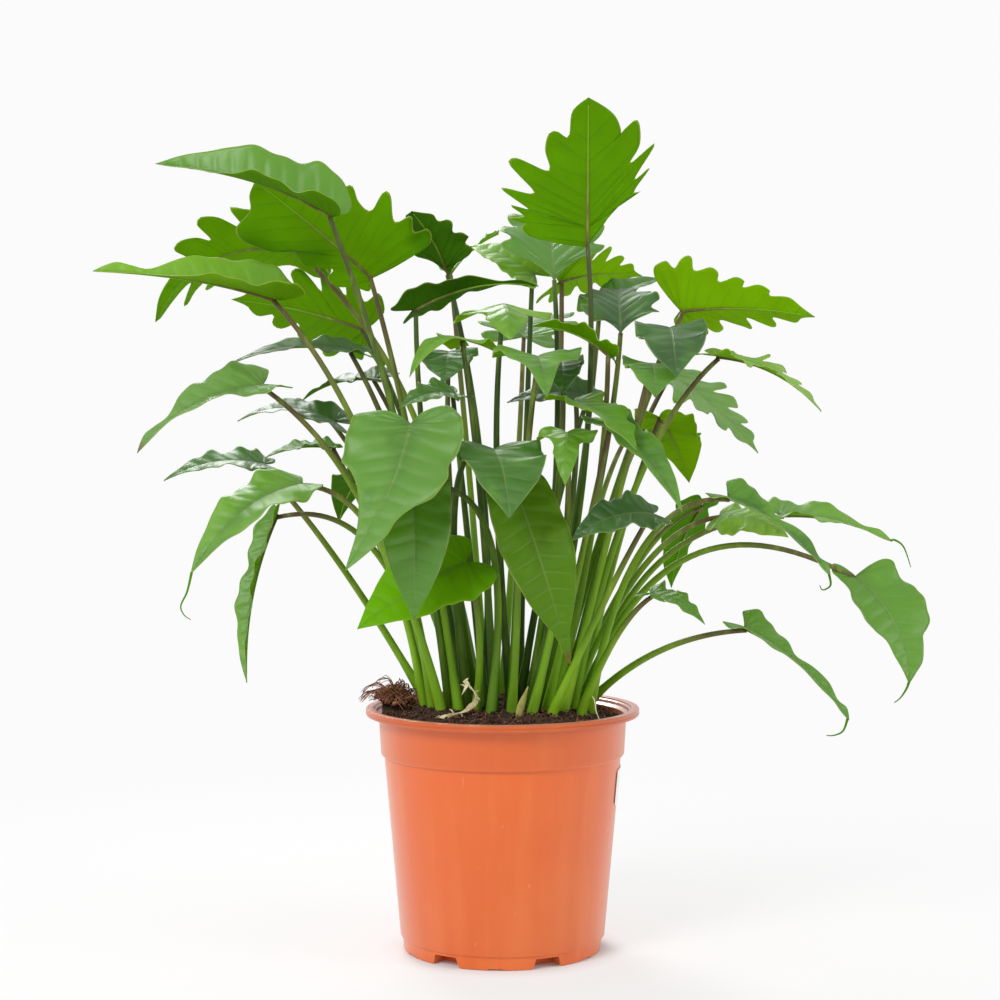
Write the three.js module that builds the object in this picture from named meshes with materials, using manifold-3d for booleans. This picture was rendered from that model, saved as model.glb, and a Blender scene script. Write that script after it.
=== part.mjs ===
// Potted xanadu philodendron: a clump of lobed, arrow-shaped leaves on long stalks,
// standing in coir compost in a plastic nursery pot. Millimetres, +Z up.
// The origin is the middle of the pot's underside. The viewer stands on the -Y side.

import * as THREE from 'three';
import Module from 'manifold-3d';
import { mergeVertices } from 'three/addons/utils/BufferGeometryUtils.js';

const wasm = await Module();
wasm.setup();

// Pot: a 19 cm nursery pot with a flat flange, a collar and six foot notches
const POT = {
  height: 168,
  rimRadius: 95,
  lipHeight: 5.2,
  lipInner: 89,
  collarTop: 86,
  collarFoot: 84.6,
  collarFootZ: 136,
  bodyTop: 82.3,
  bodyFoot: 71.1,
  footZ: 9,
  footRadius: 69.6,
  baseRadius: 69,
  wall: 1.5,
  floor: 2,
  segments: 40,
};
const NOTCH = { count: 6, firstAzimuth: 26, footWidth: 22, topWidth: 17, height: 7, depth: 13, drain: 3.5 };
const SHALLOW_NOTCH = { width: 12, height: 1 };

// Compost: domed round the stalks, with a heap at the left
const SOIL = { crown: 170, crownRadius: 52, edge: 160, gap: 0.3, rings: 5, segments: 30 };
const HEAP = { x: -70, y: 6, height: 12, spread: 19 };
const LUMPS = { height: 0.9, acrossX: 0.31, acrossY: 0.27, shift: 0.9 };

// Leaves
const BLADE = 0.8;
const RIB = 1.3;
const RIPPLE = { waves: 2.3, shift: 2.2 };
const LAST_FOOT = 0.97;
const STALK = { sides: 5, steps: 5, sunk: 14, foot: 4, shoulder: 3, neck: 1.7 };
const CLEARANCE = 0.35;

// White sticker on the pot's right side, and what lies on the compost
const STICKER = { low: 102, high: 127, from: 74, to: 112, thickness: 0.4, steps: 6 };
const COIR = { centre: [-73, 4, 171], reach: [8, 15, 9], strand: 1.1, end: 0.7, sides: 4, steps: 6 };
const SHEATH = {
  line: [[-25, -54, 192], [-18, -54, 183], [-21, -54, 175], [-32, -53, 169.2], [-43, -50, 167.8]],
  halfWidth: 2,
  flatness: 0.35,
  steps: 9,
  twist: 300,
};

// Curled strands of the coir clump: root, crest and free end of each
const STRANDS = [
  [[-76, -2, 174], [-87, -8, 187], [-99, -13, 173]],
  [[-76, 8, 174], [-88, 14, 189], [-98, 18, 175]],
  [[-74, 4, 176], [-81, -1, 196], [-90, -5, 180]],
  [[-77, 0, 173], [-92, 0, 185], [-98, 4, 172]],
  [[-72, -2, 175], [-78, -16, 191], [-90, -21, 176]],
  [[-73, 9, 176], [-70, 22, 191], [-78, 30, 177]],
  [[-74, -5, 172], [-76, -22, 183], [-67, -31, 172]],
  [[-71, 3, 176], [-66, -8, 191], [-73, -14, 183]],
];

// Blade outlines from the stalk to the tip, one half each unless the other half differs, as
// [along, out]: along in blade lengths, out in half widths. The side veins lean forward: a
// margin point's vein starts on the midrib that many half widths behind it
const HEART = {
  lean: 0.35,
  points: [
    [-0.1, 0.24], [-0.15, 0.58], [-0.04, 0.92], [0.14, 1], [0.38, 0.92], [0.6, 0.72], [0.8, 0.4],
    [0.92, 0.16],
  ],
};
const ARROW = {
  lean: 0.4,
  points: [
    [-0.13, 0.3], [-0.18, 0.66], [-0.04, 0.98], [0.12, 0.84], [0.34, 0.8], [0.6, 0.58], [0.82, 0.28],
    [0.93, 0.1],
  ],
};
const OVAL = {
  lean: 0.35,
  points: [[-0.06, 0.4], [-0.02, 0.78], [0.12, 0.98], [0.35, 1], [0.6, 0.9], [0.78, 0.68], [0.9, 0.34]],
};
const STRAP = {
  lean: 0.3,
  points: [[-0.08, 0.5], [-0.04, 0.9], [0.16, 1], [0.42, 0.86], [0.68, 0.72], [0.88, 0.34]],
};
const TAILED = {
  lean: 0.4,
  points: [
    [-0.08, 0.34], [-0.13, 0.74], [-0.02, 1], [0.14, 0.88], [0.34, 0.82], [0.54, 0.52],
    [0.7, 0.16], [0.8, 0.2], [0.88, 0.26], [0.95, 0.14],
  ],
};
const TWISTED = {
  lean: 0.4,
  points: [
    [-0.07, 0.4], [-0.12, 0.8], [0, 1], [0.15, 0.8], [0.3, 0.5], [0.42, 0.18], [0.56, 0.36],
    [0.7, 0.38], [0.84, 0.14], [0.92, 0.26], [0.97, 0.14],
  ],
};
const LANCE = {
  lean: 0.35,
  points: [
    [-0.06, 0.4], [-0.03, 0.8], [0.1, 1], [0.3, 0.96], [0.5, 0.8], [0.7, 0.54], [0.86, 0.28],
    [0.94, 0.12],
  ],
};
const FAN = {
  lean: 1,
  points: [
    [0.08, 0.16], [0.16, 0.42], [0.22, 0.8], [0.3, 0.98], [0.36, 0.78], [0.46, 1], [0.54, 0.9],
    [0.56, 0.7], [0.68, 0.82], [0.75, 0.7], [0.76, 0.46], [0.88, 0.44], [0.95, 0.2],
  ],
};
const SADDLE = {
  lean: 0.25,
  points: [
    [-0.14, 0.16], [-0.32, 0.44], [-0.36, 0.74], [-0.22, 0.98], [0, 1], [0.16, 0.84], [0.27, 0.52],
    [0.42, 0.37], [0.6, 0.27], [0.78, 0.17], [0.9, 0.09],
  ],
};
const SIDE_LEAF = {
  lean: 0.6,
  points: [
    [-0.1, 0.34], [-0.18, 0.7], [-0.18, 0.94], [-0.1, 1], [-0.04, 0.84], [0.01, 0.98], [0.08, 0.92],
    [0.1, 0.7], [0.22, 0.76], [0.28, 0.68], [0.28, 0.5], [0.4, 0.58], [0.47, 0.5], [0.46, 0.38],
    [0.58, 0.44], [0.66, 0.36], [0.66, 0.26], [0.8, 0.28], [0.9, 0.13],
  ],
  otherLean: 0.75,
  other: [
    [-0.06, 0.3], [-0.04, 0.6], [0.08, 0.7], [0.1, 0.46], [0.24, 0.86], [0.29, 0.8], [0.28, 0.44],
    [0.46, 0.8], [0.51, 0.72], [0.48, 0.36], [0.66, 0.62], [0.7, 0.52], [0.68, 0.26], [0.84, 0.38],
    [0.9, 0.14],
  ],
};
const WAVY = {
  lean: 0.45,
  points: [
    [-0.12, 0.3], [-0.15, 0.7], [-0.02, 1], [0.1, 0.74], [0.22, 0.92], [0.34, 0.64],
    [0.46, 0.76], [0.58, 0.48], [0.7, 0.5], [0.82, 0.24], [0.92, 0.12],
  ],
};
const LOBED = {
  lean: 0.75,
  points: [
    [-0.08, 0.24], [-0.15, 0.55], [-0.1, 0.84], [0.01, 0.56], [0.06, 0.9], [0.14, 1], [0.15, 0.58],
    [0.28, 0.98], [0.36, 0.94], [0.34, 0.48], [0.48, 0.84], [0.56, 0.76], [0.53, 0.38],
    [0.66, 0.6], [0.73, 0.5], [0.71, 0.26], [0.82, 0.36], [0.87, 0.28], [0.9, 0.13],
  ],
};
const HOOKED = {
  lean: 0.7,
  points: [
    [-0.08, 0.24], [-0.15, 0.55], [-0.08, 0.84], [0.04, 0.56], [0.2, 0.96], [0.31, 1], [0.26, 0.5],
    [0.42, 0.92], [0.53, 0.96], [0.46, 0.42], [0.6, 0.8], [0.72, 0.78], [0.64, 0.32], [0.8, 0.3],
    [0.92, 0.26], [0.97, 0.12],
  ],
};
const CURLY = {
  lean: 0.35,
  points: [
    [-0.14, 0.2], [-0.26, 0.5], [-0.24, 0.84], [-0.08, 1], [0.08, 0.86], [0.15, 0.54], [0.28, 0.4],
    [0.44, 0.42], [0.56, 0.34], [0.7, 0.26], [0.86, 0.14],
  ],
};
const POINTED = {
  lean: 0.35,
  points: [
    [-0.06, 0.4], [-0.02, 0.8], [0.12, 0.98], [0.32, 1], [0.5, 0.9], [0.64, 0.68], [0.75, 0.42],
    [0.84, 0.2], [0.93, 0.1],
  ],
};
const TOP_LEAF = {
  lean: 0.55,
  points: [
    [0.02, 0.34], [0.06, 0.66], [0.12, 0.76], [0.14, 0.7], [0.17, 0.9], [0.19, 0.72], [0.27, 0.88],
    [0.24, 0.66], [0.38, 0.98], [0.35, 0.6], [0.53, 0.88], [0.58, 0.8], [0.5, 0.44], [0.64, 0.48],
    [0.75, 0.44], [0.77, 0.35], [0.73, 0.22], [0.88, 0.19], [0.94, 0.13],
  ],
  otherLean: 1,
  other: [
    [0.06, 0.06], [0.14, 0.17], [0.22, 0.27], [0.31, 0.43], [0.36, 0.6], [0.36, 0.52], [0.52, 0.7],
    [0.44, 0.52], [0.68, 0.75], [0.55, 0.47], [0.68, 0.58], [0.84, 0.54], [0.73, 0.33], [0.76, 0.37],
    [0.86, 0.31], [0.93, 0.19],
  ],
};
const BROAD_LEAF = {
  lean: 0.5,
  points: [
    [-0.05, 0.16], [0.03, 0.26], [0.12, 0.44], [0.2, 0.42], [0.22, 0.28], [0.36, 0.5], [0.5, 0.46],
    [0.58, 0.66], [0.76, 0.76], [0.86, 0.7], [0.88, 0.38], [0.96, 0.2],
  ],
  otherLean: 0.75,
  other: [
    [-0.06, 0.4], [-0.1, 0.86], [-0.03, 0.98], [0.03, 0.84], [0.12, 0.98], [0.17, 0.78], [0.3, 0.98],
    [0.35, 0.95], [0.32, 0.66], [0.42, 0.64], [0.54, 0.76], [0.58, 0.48], [0.7, 0.56], [0.76, 0.34],
    [0.88, 0.3], [0.94, 0.14],
  ],
};
const FRONT_LEAF = {
  lean: 0.3,
  points: [
    [-0.05, 0.36], [-0.04, 0.66], [0.04, 0.94], [0.15, 1], [0.26, 1], [0.35, 0.97], [0.4, 0.76],
    [0.5, 0.52], [0.65, 0.31], [0.78, 0.17], [0.9, 0.08],
  ],
  otherLean: 0.4,
  other: [
    [-0.1, 0.12], [-0.16, 0.48], [-0.08, 0.82], [0.01, 0.97], [0.12, 0.96], [0.24, 0.86],
    [0.36, 0.93], [0.47, 0.84], [0.55, 0.54], [0.65, 0.36], [0.76, 0.33], [0.88, 0.18],
  ],
};
const FAR_LEAF = {
  lean: 0.3,
  points: [
    [-0.12, 0.12], [-0.17, 0.3], [-0.1, 0.43], [-0.01, 0.4], [0.11, 0.45], [0.2, 0.58], [0.3, 0.56],
    [0.42, 0.6], [0.52, 0.55], [0.62, 0.36], [0.76, 0.26], [0.88, 0.13],
  ],
  otherLean: 0.3,
  other: [
    [-0.05, 0.4], [-0.06, 0.74], [-0.01, 0.92], [0.06, 0.85], [0.14, 0.83], [0.26, 0.89], [0.42, 0.84],
    [0.56, 0.82], [0.62, 0.7], [0.67, 0.53], [0.76, 0.45], [0.87, 0.36], [0.93, 0.2],
  ],
};

// Every leaf with its stalk: where the stalk leaves the compost, a point halfway up it, where
// the blade starts, its tip, then half width, roll about the midrib in degrees, rise of
// the midrib, fold of the two halves in degrees, and wave of the margin. Some have two more:
// how far the midrib bows to the side, and the twist of the blade from end to end in degrees
const LEAVES = [
  ['leaf_top', TOP_LEAF, [24, -20], [55, -30, 331], [57, -40, 483], [56, -76, 578], 60, 0, 3, 8, 2],
  ['leaf_fan_behind', FAN, [24, 4], [37, 4, 325], [36, 8, 464], [33, 93, 522], 38, 0, 6, 10, 3],
  ['leaf_lime_right', LOBED, [24, 28], [38, 40, 327], [40, 44, 465], [102, 84, 472], 28, -40, 5, 8, 2],
  ['leaf_pale_left', ARROW, [12, 28], [16, 44, 326], [23, 50, 471], [-25, 80, 493], 25, -24, 5, 8, 2],
  ['leaf_pale_back', FAN, [-12, 52], [-24, 84, 323], [-40, 106, 474], [-3, 152, 508], 24, -20, 4, 8, 2],
  ['leaf_fan_under', FAN, [-12, 4], [-14, 5, 326], [-37, 10, 467], [-62, -22, 509], 27, 0, 4, 10, 3],
  ['leaf_long_dark', TAILED, [-24, 4], [-50, -12, 312], [-61, -22, 442], [24, -44, 457], 19, -22, 9, 10, 3],
  ['leaf_big_left', BROAD_LEAF, [-36, 4], [-61, 6, 334], [-90, 0, 465], [-166, -42, 527], 54, 48, 4, 2, 3],
  ['leaf_high_left', LANCE, [-36, -20], [-66, -50, 344], [-111, -81, 500], [-230, -58, 537],
    27, -16, 9, 40, 4, 0, -40],
  ['leaf_lobed_left', HOOKED, [-36, 28], [-55, 30, 350], [-144, 40, 488], [-240, 0, 435], 40, 40, 26, 8, 3],
  ['leaf_edge_left', TAILED, [-48, -20], [-86, -52, 334], [-150, -60, 447], [-266, -90, 464],
    26, -18, 5, 38, 3, 0, -30],
  ['leaf_lobed_mid_left', LOBED, [-24, 28], [-56, 56, 320], [-99, 66, 432], [-198, 86, 455], 44, 44, 5, 6, 3],
  ['leaf_dark_left', WAVY, [-30, 16], [-63, 12, 311], [-104, 8, 415], [-190, 0, 405], 22, -15, 8, 8, 3],
  ['leaf_pale_long_left', TAILED, [-54, -8], [-93, -40, 307], [-160, -50, 391], [-238, -90, 346],
    24, -28, 12, 16, 4, 0, 16],
  ['leaf_back_left_a', ARROW, [-30, 40], [-72, 55, 281], [-122, 70, 366], [-194, 86, 366],
    22, -18, 10, 10, 3],
  ['leaf_back_left_b', ARROW, [-18, 40], [-45, 62, 288], [-92, 69, 397], [-149, 109, 381], 20, -15, 6, 10, 3],
  ['leaf_low_left_a', STRAP, [-48, 28], [-83, 32, 268], [-118, 30, 348], [-166, 20, 341], 13, -10, 4, 10, 2],
  ['leaf_low_left_b', WAVY, [-54, 16], [-114, 15, 266], [-168, 20, 336], [-235, 0, 325], 20, -22, 8, 8, 3],
  ['leaf_big_low_left', LANCE, [-42, -32], [-83, -55, 287], [-133, -60, 325], [-201, -110, 268],
    23, -20, 14, 8, 4],
  ['leaf_hanging_left', OVAL, [-48, 4], [-88, -18, 278], [-154, -25, 303], [-171, -60, 192],
    10, 25, 6, 38, 2, 3],
  ['leaf_heart_front', FRONT_LEAF, [-30, -32], [-46, -42, 274], [-60, -85, 365], [-99, -150, 273],
    40, -14, 3, 6, 3, -7],
  ['leaf_heart_second', HEART, [-8, -44], [-10, -54, 292], [-59, -84, 325], [-57, -118, 239],
    25, -6, 8, 6, 3],
  ['leaf_lime_low', HEART, [-18, -32], [-16, -54, 229], [-24, -60, 273], [-95, -92, 231], 29, -44, 6, 4, 3],
  ['leaf_heart_mid', HEART, [-24, -20], [-32, -38, 313], [-6, -75, 348], [4, -125, 305], 31, -4, 8, 12, 4],
  ['leaf_curly_mid', CURLY, [20, -44], [40, -62, 272], [42, -78, 359], [40, -110, 325], 21, 0, 5, -14, 6],
  ['leaf_pointed_mid', POINTED, [6, -44], [10, -64, 252], [8, -72, 323], [44, -104, 208], 24, 38, 8, 8, 3],
  ['leaf_right_low', HEART, [34, -44], [68, -67, 248], [98, -84, 306], [44, -100, 289], 20, -30, 8, 6, 3],
  ['leaf_blue_right', ARROW, [30, -32], [53, -50, 276], [70, -68, 364], [115, -118, 308], 18, 10, 8, 18, 3],
  ['leaf_bright_edge', WAVY, [18, -32], [44, -34, 290], [48, -58, 379], [86, -110, 348], 24, 0, 6, 12, 4],
  ['leaf_yellow_right', HEART, [54, 16], [84, 14, 290], [109, 10, 369], [134, 52, 322], 22, 0, 5, 8, 3],
  ['leaf_arch_a', TWISTED, [60, -20], [95, -45, 282], [150, -60, 316], [213, -95, 266], 18, 18, 8, 20, 2],
  ['leaf_arch_b', LANCE, [48, 4], [97, -12, 266], [149, -15, 302], [193, -40, 288], 21, 26, 6, -8, 3],
  ['leaf_arch_far', TAILED, [60, 28], [110, 10, 268], [194, 5, 301], [273, 15, 282], 20, 12, 6, 16, 3, 0, 25],
  ['leaf_heart_far', FAR_LEAF, [54, -8], [128, -25, 274], [240, -30, 261], [271, -62, 191],
    32, 25, 6, 6, 4, -7],
  ['leaf_arch_low', TWISTED, [60, 4], [108, -20, 209], [164, -40, 227], [229, -75, 169], 19, 10, 7, 16, 3],
  ['leaf_small_low', WAVY, [54, -32], [77, -46, 222], [100, -50, 251], [133, -80, 233], 13, 14, 5, 10, 3],
  ['leaf_lobed_right', SIDE_LEAF, [36, 4], [80, -14, 326], [124, 14, 443], [215, -6, 438], 40, -45, 6, 20, 3],
  ['leaf_vee_right', FAN, [30, -8], [65, -12, 314], [80, -30, 426], [81, 30, 459], 28, 0, 6, 10, 3],
  ['leaf_back_right_a', ARROW, [30, 16], [54, 29, 314], [67, 36, 446], [116, 56, 468], 18, 24, 5, 12, 3],
  ['leaf_dark_right', HEART, [42, -8], [80, -24, 320], [112, -44, 429], [113, -90, 395], 25, 0, 6, 8, 4],
  ['leaf_left_pointing', STRAP, [36, -20], [62, -30, 300], [72, -62, 409], [20, -52, 430], 16, 16, 6, 14, 3],
  ['leaf_fold_right', HEART, [42, -32], [74, -47, 301], [99, -50, 405], [98, -104, 382], 20, -6, 6, 2, 3],
  ['leaf_thin_right', LOBED, [48, -20], [90, -42, 323], [143, -52, 410], [210, -72, 373], 26, 4, 8, 8, 3],
  ['leaf_lobed_low_right', LOBED, [36, 28], [76, 38, 302], [118, 44, 400], [179, 16, 344], 37, 10, 4, 4, 3],
  ['leaf_curly_lime', CURLY, [-6, -32], [-14, -43, 305], [-26, -60, 421], [-60, -104, 395],
    21, -6, 12, -6, 4],
  ['leaf_curly_top', CURLY, [6, -8], [-4, -26, 331], [1, -25, 446], [5, -68, 420], 36, 0, 5, -20, 4],
  ['leaf_heart_top', SADDLE, [6, -32], [13, -43, 302], [23, -74, 409], [28, -112, 382], 29, 0, 5, 6, 4],
  ['leaf_dark_heart', HEART, [18, -8], [37, -34, 313], [40, -36, 407], [40, -71, 384], 15, 0, 5, 10, 2],
  ['leaf_inner_left_a', HEART, [-18, 16], [-35, 5, 294], [-37, -4, 414], [-39, -22, 393], 21, 0, 4, 6, 3],
  ['leaf_inner_left_b', WAVY, [-12, -20], [-24, -20, 288], [-32, -37, 385], [-69, -61, 375],
    18, -24, 5, 10, 3],
  ['leaf_hang_right', HEART, [48, 28], [98, 35, 268], [142, 40, 306], [122, 60, 246], 22, 0, 6, 8, 3],
  ['leaf_inner_low', HEART, [12, 4], [34, -8, 292], [61, -12, 384], [3, -14, 379], 15, -30, 5, 8, 3],
  ['leaf_back_high', LOBED, [0, 52], [10, 90, 310], [16, 150, 430], [30, 235, 445], 38, 6, 10, 6, 3],
  ['leaf_back_wide', LOBED, [44, 44], [67, 80, 290], [96, 130, 360], [146, 205, 330], 36, 10, 12, 6, 4],
  ['leaf_back_deep', ARROW, [-24, 52], [-60, 95, 270], [-90, 140, 330], [-130, 215, 285], 30, -10, 12, 8, 4],
];

const GREENS = [0x4f8f2c, 0x5f9f3a, 0x447f33, 0x6aa83a];

// Geometry helpers

const vec = (p) => new THREE.Vector3(p[0], p[1], p[2]);
const rad = THREE.MathUtils.degToRad;

function toSolid(geometry) {
  const bare = geometry.index ? geometry.clone() : geometry;
  bare.deleteAttribute('normal');
  bare.deleteAttribute('uv');
  const merged = mergeVertices(bare, 1e-4);
  return new wasm.Manifold(
    new wasm.Mesh({
      numProp: 3,
      vertProperties: new Float32Array(merged.attributes.position.array),
      triVerts: new Uint32Array(merged.index.array),
    }),
  );
}

function toGeometry(solid) {
  const mesh = solid.getMesh();
  const geometry = new THREE.BufferGeometry();
  geometry.setAttribute('position', new THREE.BufferAttribute(new Float32Array(mesh.vertProperties), 3));
  geometry.setIndex(new THREE.BufferAttribute(new Uint32Array(mesh.triVerts), 1));
  return geometry;
}

function part(name, solid, color, roughness) {
  const material = new THREE.MeshStandardMaterial({ color, roughness, metalness: 0 });
  const mesh = new THREE.Mesh(toGeometry(solid), material);
  mesh.name = name;
  return mesh;
}

// Collects points and triangles, sharing the points given under the same key
class Shell {
  constructor() {
    this.points = [];
    this.faces = [];
    this.keys = new Map();
  }

  point(key, position) {
    if (!this.keys.has(key)) {
      this.keys.set(key, this.points.length);
      this.points.push(position);
    }
    return this.keys.get(key);
  }

  triangle(a, b, c) {
    if (a !== b && b !== c && a !== c) this.faces.push(a, b, c);
  }

  quad(a, b, c, d) {
    this.triangle(a, b, c);
    this.triangle(a, c, d);
  }

  solid() {
    const geometry = new THREE.BufferGeometry().setFromPoints(this.points);
    geometry.setIndex(this.faces);
    return toSolid(geometry);
  }
}

// A closed tube through the points, with a radius at each and its section carried along;
// a flattened one turns by the twist in degrees from end to end
function taperedTube(path, radii, sides, flatness = 1, twist = 0) {
  const shell = new Shell();
  const tangents = path.map((p, i) => {
    const before = path[Math.max(i - 1, 0)];
    const after = path[Math.min(i + 1, path.length - 1)];
    return after.clone().sub(before).normalize();
  });
  const across = new THREE.Vector3(1, 0, 0);
  const rings = path.map((p, i) => {
    across.addScaledVector(tangents[i], -across.dot(tangents[i])).normalize();
    const turn = rad((twist * i) / (path.length - 1));
    const wide = across.clone().applyAxisAngle(tangents[i], turn);
    const thin = tangents[i].clone().cross(wide).multiplyScalar(flatness);
    return Array.from({ length: sides }, (_, k) => {
      const angle = (2 * Math.PI * k) / sides;
      const offset = wide.clone().multiplyScalar(Math.cos(angle)).addScaledVector(thin, Math.sin(angle));
      return shell.point(`${i}/${k}`, p.clone().addScaledVector(offset, radii[i]));
    });
  });
  for (let i = 0; i < rings.length - 1; i++) {
    for (let k = 0; k < sides; k++) {
      const next = (k + 1) % sides;
      shell.quad(rings[i][k], rings[i][next], rings[i + 1][next], rings[i + 1][k]);
    }
  }
  const last = rings.length - 1;
  for (let k = 1; k < sides - 1; k++) {
    shell.triangle(rings[0][0], rings[0][k + 1], rings[0][k]);
    shell.triangle(rings[last][0], rings[last][k], rings[last][k + 1]);
  }
  return shell.solid();
}

// Leaf

class Leaf {
  constructor([name, outline, base, middle, joint, tip, wide, roll, rise, fold, wave, bow = 0, twist = 0]) {
    Object.assign(this, { name, outline, wide, rise, wave, bow });
    this.roll = rad(roll);
    this.twist = rad(twist);
    this.fold = rad(fold);
    this.base = new THREE.Vector3(base[0], base[1], SOIL.crown);
    this.middle = vec(middle);
    this.joint = vec(joint);
    this.tip = vec(tip);
    this.length = this.joint.distanceTo(this.tip);
    this.forward = this.tip.clone().sub(this.joint).normalize();
    const up = new THREE.Vector3(0, 0, 1);
    this.plainTop = up.addScaledVector(this.forward, -this.forward.z).normalize();
    this.plainSide = this.forward.clone().cross(this.plainTop);
  }

  // The direction that the upper face looks in at a place along the blade
  top(along) {
    const turn = this.roll + this.twist * along;
    const upright = this.plainTop.clone().multiplyScalar(Math.cos(turn));
    return upright.addScaledVector(this.plainSide, Math.sin(turn));
  }

  // A point of the blade's middle surface: along in blade lengths, out in millimetres
  surface(along, out) {
    const reach = Math.abs(out);
    const share = reach / this.wide;
    const arch = along > 0 ? 4 * this.rise * along * (1 - along) : 4 * this.rise * along;
    const bend = along > 0 ? 4 * this.bow * along * (1 - along) : 0;
    const phase = out > 0 ? 0 : RIPPLE.shift;
    const swing = Math.sin(2 * Math.PI * RIPPLE.waves * along + phase);
    const ripple = this.wave * share * share * swing;
    const top = this.top(along);
    return this.joint
      .clone()
      .addScaledVector(this.forward, along * this.length)
      .addScaledVector(this.forward.clone().cross(top), out * Math.cos(this.fold) + bend)
      .addScaledVector(top, arch + reach * Math.sin(this.fold) + ripple);
  }

  // The upward normal of the middle surface; on the midrib, where it folds, the leaf's own
  normal(along, out) {
    if (out === 0) return this.top(along);
    const step = 0.01;
    const inward = this.surface(along, out * (1 - step)).sub(this.surface(along, out));
    const onward = this.surface(along + step, out).sub(this.surface(along, out));
    return onward.cross(inward).multiplyScalar(Math.sign(out)).normalize();
  }

  // The margin of one half from the stalk to the tip, with the foot of the side vein of each
  // point: far enough on that no vein crosses the rear edge of the lobe in front of it
  rows(half) {
    const { points, lean, other = points, otherLean = lean } = this.outline;
    const slim = ((half > 0 ? lean : otherLean) * this.wide) / this.length;
    const margin = [[0, 0], ...(half > 0 ? points : other), [1, 0]];
    let foot = 0;
    return margin.map(([along, share], i) => {
      const [nextAlong, nextShare] = margin[i + 1] ?? [along, share];
      const rising = nextShare > share && nextAlong > along;
      const behind = rising ? along - (share * (nextAlong - along)) / (nextShare - share) : 0;
      const reach = Math.max(along - share * slim, behind);
      foot = Math.max(foot, Math.min(Number(reach.toFixed(4)), LAST_FOOT));
      return { foot: along === 1 ? 1 : foot, along, out: half * share * this.wide };
    });
  }

  blade() {
    const shell = new Shell();
    const corner = (along, out, face) => {
      const rib = face < 0 && out === 0 ? RIB * (1 - along) : 0;
      const lift = (face * BLADE) / 2 - rib;
      const key = `${along.toFixed(5)}/${out.toFixed(3)}/${face}`;
      return shell.point(key, this.surface(along, out).addScaledVector(this.normal(along, out), lift));
    };
    const halves = [this.rows(1), this.rows(-1)];
    const feet = [...new Set(halves.flat().map((row) => row.foot))].sort((p, q) => p - q);
    for (const rows of halves) {
      for (let i = 0; i < rows.length - 1; i++) {
        const [a, b] = [rows[i], rows[i + 1]];
        const half = Math.sign(a.out + b.out);
        const facet = (...corners) => {
          const [p, q, r] = half > 0 ? corners : corners.reverse();
          shell.triangle(corner(...p, 1), corner(...q, 1), corner(...r, 1));
          shell.triangle(corner(...p, -1), corner(...r, -1), corner(...q, -1));
        };
        facet([a.foot, 0], [a.along, a.out], [b.along, b.out]);
        const ribs = [a.foot, ...feet.filter((foot) => foot > a.foot && foot < b.foot), b.foot];
        for (let k = 0; k < ribs.length - 1; k++) facet([ribs[k], 0], [b.along, b.out], [ribs[k + 1], 0]);
        const edge = [
          corner(a.along, a.out, 1),
          corner(a.along, a.out, -1),
          corner(b.along, b.out, -1),
          corner(b.along, b.out, 1),
        ];
        shell.quad(...(half > 0 ? edge : edge.reverse()));
      }
    }
    return shell.solid();
  }

  stalk() {
    const end = this.joint.clone().addScaledVector(this.forward, 2).addScaledVector(this.top(0), -0.9);
    const elbow = this.middle.clone().multiplyScalar(2);
    elbow.addScaledVector(this.base, -0.5).addScaledVector(end, -0.5);
    const curve = new THREE.QuadraticBezierCurve3(this.base, elbow, end);
    const below = this.base.clone();
    below.z -= STALK.sunk;
    const path = [below, ...curve.getPoints(STALK.steps)];
    const radii = path.map((p, i) => {
      if (i < 2) return STALK.foot;
      const share = (i - 1) / STALK.steps;
      return STALK.neck + (STALK.shoulder - STALK.neck) * (1 - share);
    });
    return taperedTube(path, radii, STALK.sides);
  }

  solid() {
    return this.stalk().add(this.blade());
  }

  // The plain hole that the stalk stands in
  hole() {
    const low = this.base.clone();
    low.z -= STALK.sunk + CLEARANCE;
    const high = this.base.clone();
    high.z += 10;
    const radius = STALK.foot + CLEARANCE / Math.cos(Math.PI / STALK.sides);
    return taperedTube([low, high], [radius, radius], STALK.sides);
  }
}

// Pot

function lathe(profile, segments) {
  const points = profile.map(([r, z]) => new THREE.Vector2(r, z));
  const geometry = new THREE.LatheGeometry(points, segments);
  geometry.rotateX(Math.PI / 2);
  return toSolid(geometry);
}

// A trapezoid block that stands on the base plane and reaches inward from the pot's side
function trapezoid(footWidth, topWidth, height, inner, outer, azimuth) {
  const shape = new THREE.Shape();
  shape.moveTo(-footWidth / 2, -1);
  shape.lineTo(footWidth / 2, -1);
  shape.lineTo(topWidth / 2, height);
  shape.lineTo(-topWidth / 2, height);
  shape.closePath();
  const geometry = new THREE.ExtrudeGeometry(shape, { depth: outer - inner, bevelEnabled: false });
  geometry.rotateX(Math.PI / 2);
  geometry.translate(0, -inner, 0);
  geometry.rotateZ(rad(azimuth));
  return toSolid(geometry);
}

function outerProfile() {
  const lipFoot = POT.height - POT.lipHeight;
  return [
    [0, 0],
    [POT.baseRadius, 0],
    [POT.footRadius, POT.footZ],
    [POT.bodyFoot, POT.footZ + 0.6],
    [POT.bodyTop, POT.collarFootZ - 1],
    [POT.collarFoot, POT.collarFootZ],
    [POT.collarTop, lipFoot],
    [POT.rimRadius - 1, lipFoot],
    [POT.rimRadius, lipFoot + 1.2],
    [POT.rimRadius, POT.height - 1],
    [POT.rimRadius - 1.5, POT.height],
    [0, POT.height],
  ];
}

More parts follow.
